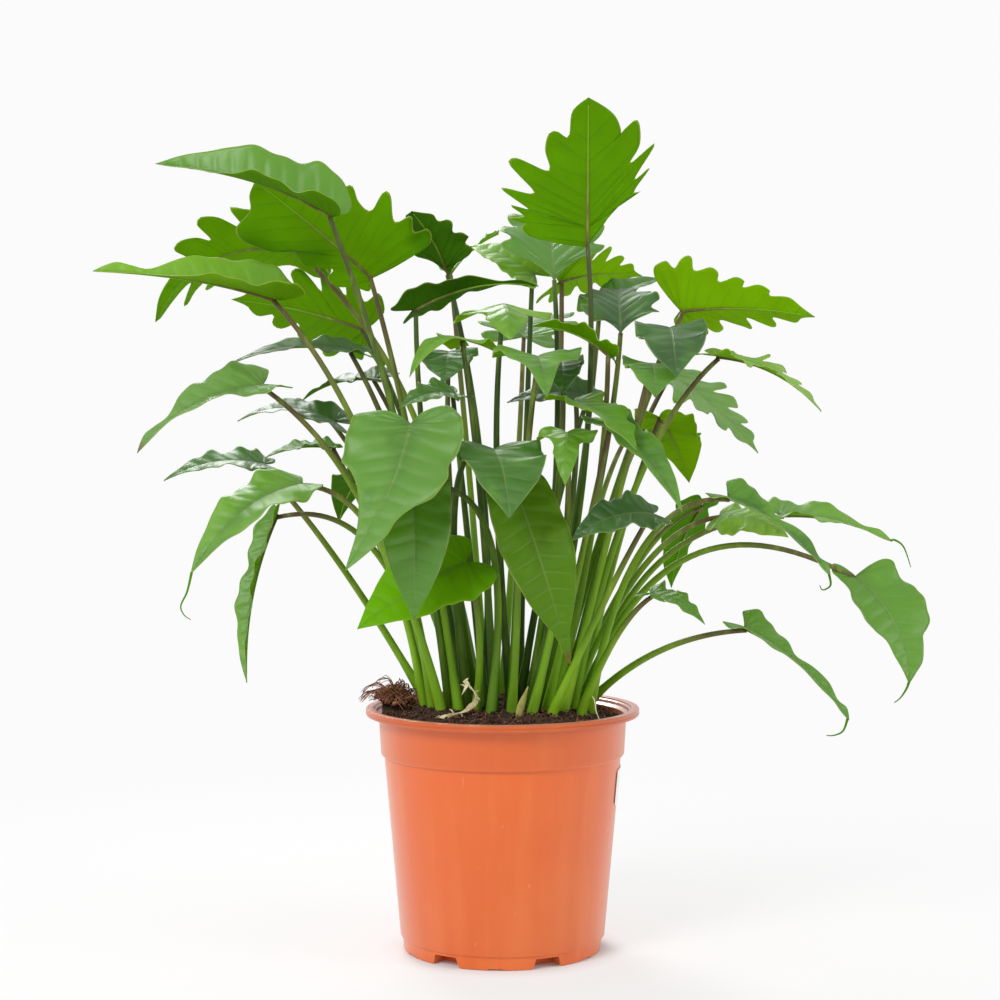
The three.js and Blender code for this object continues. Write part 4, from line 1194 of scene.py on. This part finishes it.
@dataclass(frozen=True)
class Earth:
    """Compost, coir or dried plant matter.

    Attributes:
        name: The material's name.
        dark: Its darkest colour.
        light: Its lightest.
        scale: How many lumps of colour to a metre.
        rough: How dull it is.
        relief: How deep its grain is, in millimetres.
    """

    name: str
    dark: Colour
    light: Colour
    scale: float
    rough: float
    relief: float

    def make(self) -> bpy.types.Material:
        """Makes the material.

        Returns:
            The material.
        """
        recipe = Recipe(self.name)
        cloud = recipe.noise(self.scale, 6)
        _, seed = recipe.marks("place")
        speck = recipe.math("MULTIPLY_ADD", seed, 0.4, recipe.math("MULTIPLY", cloud, 0.8))
        body = recipe.mix(recipe.ramp(speck, 0.35, 0.85), self.dark, self.light)
        shine = recipe.node(
            "BsdfPrincipled",
            {
                "Base Color": body,
                "Roughness": self.rough,
                "Specular IOR Level": 0.25,
                "Normal": recipe.bump(cloud, 0.8, self.relief),
            },
        )
        return recipe.finish(shine)


@dataclass(frozen=True)
class StickerFilm:
    """The bare white sticker.

    Attributes:
        face: Its colour.
        edge: The colour of the painted shadow line along its upright edge nearer the front, and of its faint
            stains.
    """

    face: Colour = (247, 246, 242)
    edge: Colour = (150, 142, 136)

    def make(self) -> bpy.types.Material:
        """Makes the material.

        Returns:
            The material.
        """
        recipe = Recipe("sticker_film")
        cloud = recipe.noise(120, 3)
        along, _ = recipe.marks("veins")
        # Painted shadow: a thin dark line along the sticker's upright edge nearer the front.
        painted_shadow_line = recipe.ramp(along, 0.018, 0.008)
        stain = recipe.ramp(cloud, 0.35, 0.8, 0.0, 0.2)
        body = recipe.mix(recipe.math("MAXIMUM", painted_shadow_line, stain), self.face, self.edge)
        shine = recipe.node(
            "BsdfPrincipled",
            {
                "Base Color": body,
                "Roughness": recipe.ramp(cloud, 0.3, 0.7, 0.32, 0.45),
                "Normal": recipe.bump(cloud, 0.2, 0.1),
            },
        )
        return recipe.finish(shine)


@dataclass
class Pot:
    """The nursery pot with its sticker. Radii and heights are as in the CAD model.

    Attributes:
        height: The pot's height.
        rim: The flange's radius.
        lip: How tall the flange is.
        collar_top: The collar's radius under the flange.
        collar_foot: Its radius at its foot.
        collar_z: The height of its foot.
        body_top: The wall's radius under the collar.
        body_foot: Its radius above the foot ring.
        foot_z: The height of the foot ring.
        foot: The foot ring's radius.
        base: The radius of the underside.
        wall: How thick the wall is.
        floor: How thick the floor is.
        around: How many steps the round wall has.
        notches: How many foot notches there are.
        first_notch: Where the first one is, from the -Y side towards +X.
        notch_foot: Its width at the bottom.
        notch_top: Its width at the top.
        notch_height: How high it reaches.
        notch_depth: How far it reaches inward.
        drain: The radius of the drain hole above it.
        shallow: The width of the shallow notches between.
        label_low: The height of the sticker's lower edge.
        label_high: The height of its upper edge.
        label_from: Where it starts round the pot.
        label_to: Where it ends.
        finish: The pot's look.
        film: The sticker's look.
    """

    height: float = 168.0
    rim: float = 95.0
    lip: float = 5.2
    collar_top: float = 86.0
    collar_foot: float = 84.6
    collar_z: float = 136.0
    body_top: float = 82.3
    body_foot: float = 71.1
    foot_z: float = 9.0
    foot: float = 69.6
    base: float = 69.0
    wall: float = 1.5
    floor: float = 2.0
    around: int = 192
    notches: int = 6
    first_notch: float = 26.0
    notch_foot: float = 22.0
    notch_top: float = 17.0
    notch_height: float = 7.0
    notch_depth: float = 13.0
    drain: float = 3.5
    shallow: float = 12.0
    label_low: float = 102.0
    label_high: float = 127.0
    label_from: float = 74.0
    label_to: float = 112.0
    finish: PotPlastic = PotPlastic()
    film: StickerFilm = StickerFilm()

    def profile(self) -> list[Point2]:
        """Lists the wall's section, from the underside's middle up the outside and down the inside.

        Returns:
            Radius and height of each corner.
        """
        lip_z = self.height - self.lip
        outside = [
            (0.0, 0.0), (self.base - 0.6, 0.0), (self.base - 0.1, 0.25), (self.base + 0.05, 0.8),
            (self.foot - 0.05, self.foot_z - 0.5), (self.foot + 0.2, self.foot_z + 0.1),
            (self.body_foot - 0.3, self.foot_z + 0.35), (self.body_foot + 0.05, self.foot_z + 0.9),
            (self.body_top - 0.1, self.collar_z - 2.0), (self.body_top + 0.1, self.collar_z - 1.1),
            (self.collar_foot - 0.5, self.collar_z - 0.3), (self.collar_foot, self.collar_z + 0.5),
            (self.collar_top - 0.05, lip_z - 1.2), (self.collar_top + 0.5, lip_z - 0.2),
            (self.rim - 1.5, lip_z), (self.rim - 0.4, lip_z + 0.4), (self.rim, lip_z + 1.2),
            (self.rim, lip_z + 2.0), (self.rim - 0.45, lip_z + 2.5), (self.rim - 0.05, lip_z + 3.1),
            (self.rim - 0.05, self.height - 0.9), (self.rim - 0.5, self.height - 0.25),
            (self.rim - 1.5, self.height),
        ]
        inside = [
            (self.rim - 4.6, self.height), (self.rim - 5.4, self.height - 0.3),
            (self.rim - 5.8, self.height - 1.2),
            (self.rim - 7.2, self.height - 1.9), (self.rim - 7.8, lip_z + 1.6),
            (self.collar_top - self.wall, lip_z), (self.collar_foot - self.wall, self.collar_z + 1.5),
            (self.body_top - self.wall, self.collar_z), (self.foot - self.wall, self.foot_z),
            (self.base - self.wall, self.floor), (0.0, self.floor),
        ]
        return outside + inside

    def shell(self) -> Draft:
        """Turns the section round the pot's axis.

        Returns:
            The wall and floor without notches.
        """
        draft = Draft()
        section = self.profile()
        rows, marks = [], []
        for k in range(self.around + 1):
            angle = math.tau * k / self.around
            rows.append([Vector((r * math.cos(angle), r * math.sin(angle), z)) for r, z in section])
            marks.append([(k / self.around, z / self.height, z / self.height, 0.5) for _, z in section])
        draft.grid(rows, marks, 0, False)
        return draft

    def wedge(
        self,
        draft: Draft,
        foot: float,
        top: float,
        low: float,
        high: float,
        near: float,
        far: float,
        azimuth: float,
    ) -> None:
        """Adds a block that tapers upward and ends in a curved face, set round the foot.

        Args:
            draft: Where it goes.
            foot: Its width at the bottom.
            top: Its width at the top.
            low: Its underside's height.
            high: Its top's height.
            near: How far its flat end is from the axis.
            far: The radius of its curved end.
            azimuth: Where it is, from the -Y side towards +X.
        """
        turn = Matrix.Rotation(math.radians(azimuth), 3, UP)
        cuts = 8
        ring: list[Point2] = [(-foot / 2 + foot * i / cuts, low) for i in range(cuts + 1)]
        ring += [(top / 2 - top * i / cuts, high) for i in range(cuts + 1)]
        start = len(draft.points)
        for x, z in ring:
            draft.points.append(turn @ Vector((x, -near, z)))
        for x, z in ring:
            draft.points.append(turn @ Vector((x, -math.sqrt(far * far - x * x), z)))
        count = len(ring)
        nothing = (0.0, 0.0, 0.0, 0.0)
        for i in range(count):
            j = (i + 1) % count
            draft.face([start + i, start + j, start + count + j, start + count + i], [nothing] * 4)
        for side in (0, count):
            for i in range(cuts):
                quad = [i, i + 1, 2 * cuts - i, 2 * cuts + 1 - i]
                order = quad[::-1] if side == 0 else quad
                draft.face([start + side + n for n in order], [nothing] * 4)

    def peg(
        self, draft: Draft, radius: float, low: float, high: float, reach: float, azimuth: float
    ) -> None:
        """Adds an upright round peg, for a drain hole.

        Args:
            draft: Where it goes.
            radius: Its radius.
            low: Its underside's height.
            high: Its top's height.
            reach: How far it is from the pot's axis.
            azimuth: Where it is round the pot.
        """
        centre = Matrix.Rotation(math.radians(azimuth), 3, UP) @ Vector((0.0, -reach, 0.0))
        draft.tube([centre + UP * low, centre + UP * high], [radius, radius], 24)

    def build(self) -> None:
        """Makes the pot and its sticker."""
        plastic = self.finish.make()
        pockets, cuts = Draft(), Draft()
        near = self.base - self.notch_depth
        roof = self.notch_height + self.wall
        for i in range(self.notches):
            azimuth = self.first_notch + 360 / self.notches * i
            bend = self.base - self.wall / 2
            self.wedge(
                pockets, self.notch_foot + 2 * self.wall, self.notch_top + 2 * self.wall, 0.4, roof,
                near - self.wall, bend, azimuth,
            )
            self.wedge(
                cuts, self.notch_foot, self.notch_top, -1.0, self.notch_height, near, self.base + 5, azimuth
            )
            self.peg(cuts, self.drain, self.notch_height - 0.5, roof + 2, near + self.drain + 1, azimuth)
            between = azimuth + 180 / self.notches
            self.wedge(cuts, self.shallow, self.shallow - 2, -1.0, 1.0, near, self.base + 5, between)
        pot = self.shell().build("nursery_pot", [plastic], 1e-6)
        for draft, operation in ((pockets, "UNION"), (cuts, "DIFFERENCE")):
            tool = draft.build("pot_tool", [plastic], 1e-6)
            cut = pot.modifiers.new("cut", "BOOLEAN")
            cut.operation, cut.object, cut.solver = operation, tool, "EXACT"
            seen = bpy.context.evaluated_depsgraph_get()
            old = pot.data
            pot.data = bpy.data.meshes.new_from_object(pot.evaluated_get(seen))
            pot.modifiers.clear()
            bpy.data.meshes.remove(old)
            bpy.data.objects.remove(tool)
        pot.data.name = "nursery_pot"
        pot.data.set_sharp_from_angle(angle=math.radians(34))
        settle(pot, "pot_plastic", "pot")
        settle(self.label().build("bare_sticker", [self.film.make()]), "sticker_film", "sticker")

    def label(self) -> Draft:
        """Bends the sticker round the wall, with rounded corners.

        Returns:
            The sticker.
        """
        draft = Draft()
        columns, lines, corner = 36, 16, 3.0
        middle = (self.label_low + self.label_high) / 2
        tall = self.label_high - self.label_low
        slope = (self.body_top - self.body_foot) / (self.collar_z - self.foot_z)
        sheets: list[list[list[Vector]]] = []
        for lift in (0.1, 0.45):
            rows = []
            for i in range(columns + 1):
                share = i / columns
                azimuth = math.radians(self.label_from + (self.label_to - self.label_from) * share)
                wide = (self.label_to - self.label_from) / 360 * math.tau * self.body_top
                inset = min(share, 1 - share) * wide
                drop = corner - math.sqrt(max(corner**2 - (corner - min(inset, corner)) ** 2, 0.0))
                row = []
                for j in range(lines + 1):
                    z = middle + (tall / 2 - drop) * (2 * j / lines - 1)
                    radius = self.body_foot + (z - self.foot_z) * slope + 0.25 + lift
                    row.append(Vector((radius * math.sin(azimuth), -radius * math.cos(azimuth), z)))
                rows.append(row)
            sheets.append(rows)
        under, face = sheets
        flat = [[(i / columns, j / lines, 0.0, 0.5) for j in range(lines + 1)] for i in range(columns + 1)]
        draft.grid(face, flat, 0, False)
        draft.grid(under, flat, 0, True)
        around = [(i, 0) for i in range(columns)] + [(columns, j) for j in range(lines)]
        around += [(columns - i, lines) for i in range(columns)] + [(0, lines - j) for j in range(lines + 1)]
        rim = [[under[i][j], face[i][j]] for i, j in around]
        draft.grid(rim, [[flat[i][j], flat[i][j]] for i, j in around], 0, False)
        return draft


@dataclass
class Compost:
    """The compost, the coir clump and the dried bits that lie on it.

    Attributes:
        crown: The height of the surface round the stalks.
        crown_radius: How far out it stays that high.
        edge: The height of the surface at the wall.
        collar: Where the slope to the wall ends.
        heap: The middle and the height of the heap under the coir.
        heap_spread: How wide that heap is.
        rim: The radius of the compost at its top.
        loose_reach: How far out crumbs lie.
        crumbs: How many crumbs lie on it.
        fibre_count: How many loose fibres lie on it.
        coir_at: The middle of the coir clump's foot.
        coir_half: Half its size along X and Y, and its height.
        coir_strands: How many strands it has.
        coir_crumbs: How many crumbs hang in it.
        wobble: The noise's seed, which keeps the bends of the strands the same in each run.
        earth: The compost's look.
        coir: The coir's look.
        husk: The look of what is dry.
        fresh_husk: The bract's look.
    """

    crown: float = 170.0
    crown_radius: float = 52.0
    edge: float = 160.0
    collar: float = 86.0
    heap: Point3 = (-70.0, 6.0, 12.0)
    heap_spread: float = 19.0
    rim: float = 83.9
    loose_reach: float = 82.0
    crumbs: int = 1700
    fibre_count: int = 420
    coir_at: Point3 = (-73.0, 3.0, 171.0)
    coir_half: Point3 = (11.0, 17.0, 6.0)
    coir_strands: int = 340
    coir_crumbs: int = 240
    wobble: int = 1
    earth: Earth = Earth("compost", (30, 20, 16), (92, 66, 52), 260.0, 0.95, 1.2)
    coir: Earth = Earth("coir", (66, 38, 27), (164, 110, 80), 150.0, 0.9, 0.6)
    husk: Earth = Earth("husk", (168, 152, 104), (232, 224, 186), 140.0, 0.75, 0.5)
    fresh_husk: Earth = Earth("fresh_husk", (130, 128, 60), (190, 186, 110), 140.0, 0.7, 0.4)

    def height(self, x: float, y: float) -> float:
        """Finds the height of the compost's surface, as in the CAD model.

        Args:
            x: Where.
            y: Where.

        Returns:
            The height.
        """
        slope = smoothstep(math.hypot(x, y), self.crown_radius, self.collar)
        heap_x, heap_y, heap_z = self.heap
        near = (x - heap_x) ** 2 + (y - heap_y) ** 2
        heap = heap_z * math.exp(-near / (2 * self.heap_spread**2))
        lumps = 0.9 * math.sin(0.31 * x + 0.9) * math.sin(0.27 * y) * slope
        return self.crown - (self.crown - self.edge) * slope + heap * slope + lumps

    def ground(self) -> Draft:
        """Makes the compost's body, its lumps and its loose crumbs and fibres.

        Returns:
            The compost.
        """
        draft = Draft()
        around, rings = 180, 56
        buried = ((0.0, 12.0), (62.0, 12.0), (80.0, 134.0))
        rows, marks = [], []
        for k in range(around + 1):
            angle = math.tau * (k % around) / around
            row = [Vector((r * math.cos(angle), r * math.sin(angle), z)) for r, z in buried]
            for i in range(rings, -1, -1):
                radius = self.rim * i / rings
                x, y = radius * math.cos(angle), radius * math.sin(angle)
                rough = noise.noise(Vector((x, y, 3.0)) * 0.16) * 1.6
                rough += noise.noise(Vector((x, y, 9.0)) * 0.5)
                row.append(Vector((x, y, self.height(x, y) + rough - 0.6)))
            rows.append(row)
            marks.append([(0.0, 0.0, 0.0, 0.35)] * len(row))
        draft.grid(rows, marks, 0, False)
        chance = random.Random(11)
        for _ in range(self.crumbs):
            x, y = self.spot(self.loose_reach, chance)
            size = chance.uniform(0.5, 1.5) * chance.uniform(0.7, 1.3)
            draft.crumb(Vector((x, y, self.height(x, y) - 0.2)), size, chance)
        return draft

    def spot(self, reach: float, chance: random.Random) -> Point2:
        """Picks a place on the compost, each as likely as another.

        Args:
            reach: How far out it may be.
            chance: Where the pick comes from.

        Returns:
            The place.
        """
        radius = reach * math.sqrt(chance.random())
        angle = chance.uniform(0, math.tau)
        return radius * math.cos(angle), radius * math.sin(angle)

    def strand(
        self, draft: Draft, start: Vector, crest: Vector, end: Vector, thick: float, chance: random.Random
    ) -> None:
        """Adds one curled fibre.

        Args:
            draft: Where it goes.
            start: Its root.
            crest: The control point of its bend.
            end: Its free end.
            thick: Its radius.
            chance: Where its wobble comes from.
        """
        steps = 9
        shift = chance.uniform(0, 50)
        path = []
        for i in range(steps + 1):
            share = i / steps
            wobble = noise.noise_vector(Vector((shift, share * 3.2, 0.0))) * 2.4 * math.sin(math.pi * share)
            path.append(bezier(start, crest, end, share) + wobble)
        radii = [thick * (1 - 0.6 * i / steps) for i in range(steps + 1)]
        draft.tube(path, radii, 5, 0, chance.random())

    def clump(self) -> Draft:
        """Makes the coir clump at the left, with curls over the pot's flange.

        Returns:
            The clump.
        """
        draft = Draft()
        chance = random.Random(23)
        middle_x, middle_y, foot = self.coir_at
        half_x, half_y, tall = self.coir_half
        for _ in range(self.coir_strands):
            angle = chance.uniform(0, math.tau)
            spread = math.sqrt(chance.random())
            x = middle_x + half_x * spread * math.cos(angle)
            y = middle_y + half_y * spread * math.sin(angle)
            start = Vector((x, y, foot + tall * (1 - spread) + chance.uniform(-2, 2)))
            turn = chance.uniform(0, math.tau)
            reach = chance.uniform(4, 13)
            aside = Vector((math.cos(turn), math.sin(turn), 0.0)) * reach
            outward = Vector((-5.0, 0.0, 0.0)) * chance.random()
            end = start + aside * 0.9 + outward + UP * chance.uniform(-3, 6)
            crest = start + aside * 0.5 + outward + UP * chance.uniform(3, 12)
            end.z = max(end.z, 171.5)
            self.strand(draft, start, crest, end, chance.uniform(0.2, 0.6), chance)
        for root, crest, end in (
            ((-76, -2, 174), (-87, -8, 187), (-99, -13, 173)),
            ((-76, 8, 174), (-88, 14, 189), (-98, 18, 175)),
            ((-74, 4, 176), (-81, -1, 196), (-90, -5, 180)),
            ((-77, 0, 173), (-92, 0, 185), (-98, 4, 172)),
            ((-72, -2, 175), (-78, -16, 191), (-90, -21, 176)),
            ((-73, 9, 176), (-70, 22, 191), (-78, 30, 177)),
            ((-74, -5, 172), (-76, -22, 183), (-67, -31, 172)),
            ((-71, 3, 176), (-66, -8, 191), (-73, -14, 183)),
        ):
            for _ in range(4):
                stray = Vector([chance.uniform(-2.2, 2.2) for _ in range(3)])
                thick = chance.uniform(0.3, 0.7)
                self.strand(draft, Vector(root), Vector(crest) + stray, Vector(end) + stray, thick, chance)
        for _ in range(self.coir_crumbs):
            angle = chance.uniform(0, math.tau)
            spread = chance.random() ** 0.7
            x, y = -72 + 10.5 * spread * math.cos(angle), 2 + 20 * spread * math.sin(angle)
            centre = Vector((x, y, 173 + 5 * (1 - spread) + chance.uniform(-3, 1)))
            draft.crumb(centre, chance.uniform(0.8, 2.0), chance)
        return draft

    def fibres(self) -> Draft:
        """Makes the loose fibres that lie about the compost.

        Returns:
            The fibres.
        """
        draft = Draft()
        chance = random.Random(31)
        for _ in range(self.fibre_count):
            x, y = self.spot(self.loose_reach - 2, chance)
            start = Vector((x, y, self.height(x, y)))
            turn = chance.uniform(0, math.tau)
            end = start + Vector((math.cos(turn), math.sin(turn), 0.0)) * chance.uniform(3, 9)
            if math.hypot(end.x, end.y) > self.loose_reach:
                continue
            end.z = self.height(end.x, end.y) + chance.uniform(-0.5, 1.5)
            crest = (start + end) / 2 + UP * chance.uniform(0.5, 4)
            self.strand(draft, start, crest, end, chance.uniform(0.15, 0.4), chance)
        return draft

    def sheath(self) -> Draft:
        """Makes the twisted dried leaf sheath at the left front.

        Returns:
            The sheath.
        """
        draft = Draft()
        line = [(-25, -54, 192), (-18, -54, 183), (-21, -54, 175), (-32, -53, 169.2), (-43, -50, 167.8)]
        path = rounded([Vector(p) for p in line], 60)
        radii = []
        for i, point in enumerate(path):
            share = i / 60
            point += noise.noise_vector(Vector((share * 9, 4.0, 1.0))) * 0.8
            swell = 0.55 + 0.45 * math.sin(math.pi * (share * 0.9 + 0.08))
            radii.append(2.1 * swell + 0.7 * noise.noise(Vector((share * 16, 0, 0))))
        draft.tube(path, radii, 8, 0, 0.6, 0.3, 420)
        for start, end, thick in (
            ((-24, -54, 190), (-27.5, -55, 183), 1.4),
            ((-26, -54, 191), (-23, -53.5, 194.5), 1.2),
            ((-21, -54, 176), (-16.5, -54.5, 178.5), 0.6),
            ((-33, -53, 170), (-36, -54, 173.5), 0.7),
            ((-42, -50, 168), (-45, -52, 167.2), 0.9),
            ((-19, -54, 184), (-15.5, -55, 186.5), 0.8),
            ((-18.5, -54, 181), (-15, -55, 179.5), 0.7),
            ((-25, -54, 188), (-28.5, -54.5, 190), 0.7),
            ((-29, -53.5, 171), (-27, -55, 167.5), 0.7),
            ((-37, -52, 168.6), (-40, -54.5, 166.8), 0.7),
        ):
            a, b = Vector(start), Vector(end)
            path = [a, (a + b) / 2 + Vector((0.5, 0.3, 0.6)), b]
            draft.tube(path, [thick, thick * 0.8, thick * 0.25], 6, 0, 0.8, 0.35, 80)
        return draft

    def bract(self) -> Draft:
        """Makes the small yellow-green bract that stands by the stalks.

        Returns:
            The bract.
        """
        draft = Draft()
        path = rounded([Vector(p) for p in ((10, -56, 166), (12, -57, 175), (17, -57, 189))], 20)
        radii = [2.6 * math.sin(math.pi * (0.12 + 0.83 * i / 20)) + 0.25 for i in range(21)]
        draft.tube(path, radii, 8, 0, 0.5, 0.28, 60)
        return draft

    def string(self) -> Draft:
        """Makes the dry root string at the right.

        Returns:
            The string.
        """
        draft = Draft()
        line = ((58, -28, 181), (62, -38, 178), (63, -50, 171), (65, -60, 166.5))
        path = rounded([Vector(p) for p in line], 24)
        draft.tube(path, [0.55 - 0.012 * i for i in range(25)], 6, 0, 0.9)
        return draft

    def build(self) -> None:
        """Makes the compost and all that lies on it."""
        noise.seed_set(self.wobble)
        earth, coir, husk = self.earth.make(), self.coir.make(), self.husk.make()
        settle(self.ground().build("compost", [earth]), "compost", "soil")
        settle(self.fibres().build("compost_fibres", [coir]), "coir")
        settle(self.clump().build("coir_clump", [coir]), "coir", "coir_roots")
        settle(self.sheath().build("dried_leaf_sheath", [husk]), "husk", "dried_sheath")
        settle(self.bract().build("bract", [self.fresh_husk.make()]), "husk")
        settle(self.string().build("dry_root", [husk]), "husk")


@dataclass
class Studio:
    """The camera, the light and the floor.

    Attributes:
        camera_at: Where the photograph was taken from.
        tilt: How far down the camera looks.
        lens: Its focal length on a sensor 36 mm wide.
        backdrop: How bright the white behind the plant shows.
        fill: How brightly that white lights the plant.
        paper: How much light the floor gives back.
        floor_radius: How far the floor reaches.
        lamp_size: How wide each lamp is.
        aim: How high the lamps point.
    """

    camera_at: Point3 = (-1.8, -1490.0, 371.0)
    tilt: float = 2.28
    lens: float = 77.4
    backdrop: float = 0.965
    fill: float = 0.62
    paper: float = 0.74
    floor_radius: float = 4000.0
    lamp_size: float = 900.0
    aim: float = 330.0

    def camera(self) -> None:
        """Sets the camera where the photograph was taken from."""
        data = bpy.data.cameras.new("photo_camera")
        data.lens, data.sensor_width = self.lens, 36.0
        data.clip_start, data.clip_end = 0.05, 50.0
        camera = bpy.data.objects.new("photo_camera", data)
        camera.location = Vector(self.camera_at) * MM
        camera.rotation_euler = (math.radians(90 - self.tilt), 0.0, 0.0)
        bpy.context.collection.objects.link(camera)
        bpy.context.scene.camera = camera

    def sky(self) -> None:
        """Fills the room with even white that lights the plant a little less than it shows."""
        world = bpy.data.worlds.new("studio")
        world.use_nodes = True
        tree = world.node_tree
        back = tree.nodes["Background"]
        back.inputs["Color"].default_value = (1.0, 1.0, 1.0, 1.0)
        ray = tree.nodes.new("ShaderNodeLightPath")
        seen = tree.nodes.new("ShaderNodeMath")
        seen.operation = "MAXIMUM"
        level = tree.nodes.new("ShaderNodeMapRange")
        level.inputs["To Min"].default_value = self.fill
        level.inputs["To Max"].default_value = self.backdrop
        tree.links.new(ray.outputs["Is Camera Ray"], seen.inputs[0])
        tree.links.new(ray.outputs["Is Glossy Ray"], seen.inputs[1])
        tree.links.new(seen.outputs[0], level.inputs["Value"])
        tree.links.new(level.outputs[0], back.inputs["Strength"])
        bpy.context.scene.world = world
        bpy.context.scene.view_settings.view_transform = "Standard"

    def lamp(self, name: str, place: Point3, power: float) -> None:
        """Hangs a soft light that points at the plant.

        Args:
            name: Its name.
            place: Where it hangs, in millimetres.
            power: Its power in watts.
        """
        data = bpy.data.lights.new(name, "AREA")
        data.shape, data.size, data.energy = "DISK", self.lamp_size * MM, power
        lamp = bpy.data.objects.new(name, data)
        lamp.location = Vector(place) * MM
        toward = UP * self.aim * MM - lamp.location
        lamp.rotation_euler = toward.to_track_quat("-Z", "Y").to_euler()
        bpy.context.collection.objects.link(lamp)

    def floor(self) -> None:
        """Lays a white floor that fades into the even white behind it."""
        recipe = Recipe("white_floor")
        place = recipe.node("TexCoord").outputs["Object"]
        reach = recipe.node("VectorMath", {0: place}, operation="LENGTH").outputs["Value"]
        paper = recipe.node("BsdfDiffuse", {"Color": (self.paper, self.paper, self.paper, 1.0)})
        level = self.backdrop
        far = recipe.node("Emission", {"Color": (level, level, level, 1.0), "Strength": 1.0})
        near = recipe.ramp(reach, 0.062, 0.09, 0.05, 0.6)
        fade = recipe.math("ADD", near, recipe.ramp(reach, 0.1, 0.8, 0.0, 0.4))
        blend = recipe.node("MixShader", {0: fade, 1: paper.outputs[0], 2: far.outputs[0]})
        draft = Draft()
        around = 96
        middle = Vector((0.0, 0.0, -0.3))
        rows = [[middle, middle + Vector((math.cos(a), math.sin(a), 0.0)) * self.floor_radius]
                for a in (math.tau * k / around for k in range(around + 1))]
        draft.grid(rows, [[(0.0, 0.0, 0.0, 0.0)] * 2] * (around + 1), 0, True)
        floor = draft.build("studio_floor", [recipe.finish(blend)])

    def build(self) -> None:
        """Sets up the whole studio."""
        self.camera()
        self.sky()
        self.lamp("key_light", (-1100, -1500, 1500), 30)
        self.lamp("back_light", (-500, 1500, 1500), 28)
        self.lamp("side_light", (1700, -700, 900), 10)
        self.floor()


def main() -> None:
    """Dresses the plant and sets up the studio."""
    logging.basicConfig(level=logging.INFO, format="%(message)s")
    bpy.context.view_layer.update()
    Studio().build()
    Pot().build()
    Compost().build()
    Foliage().build()


if __name__ == "__main__":
    main()
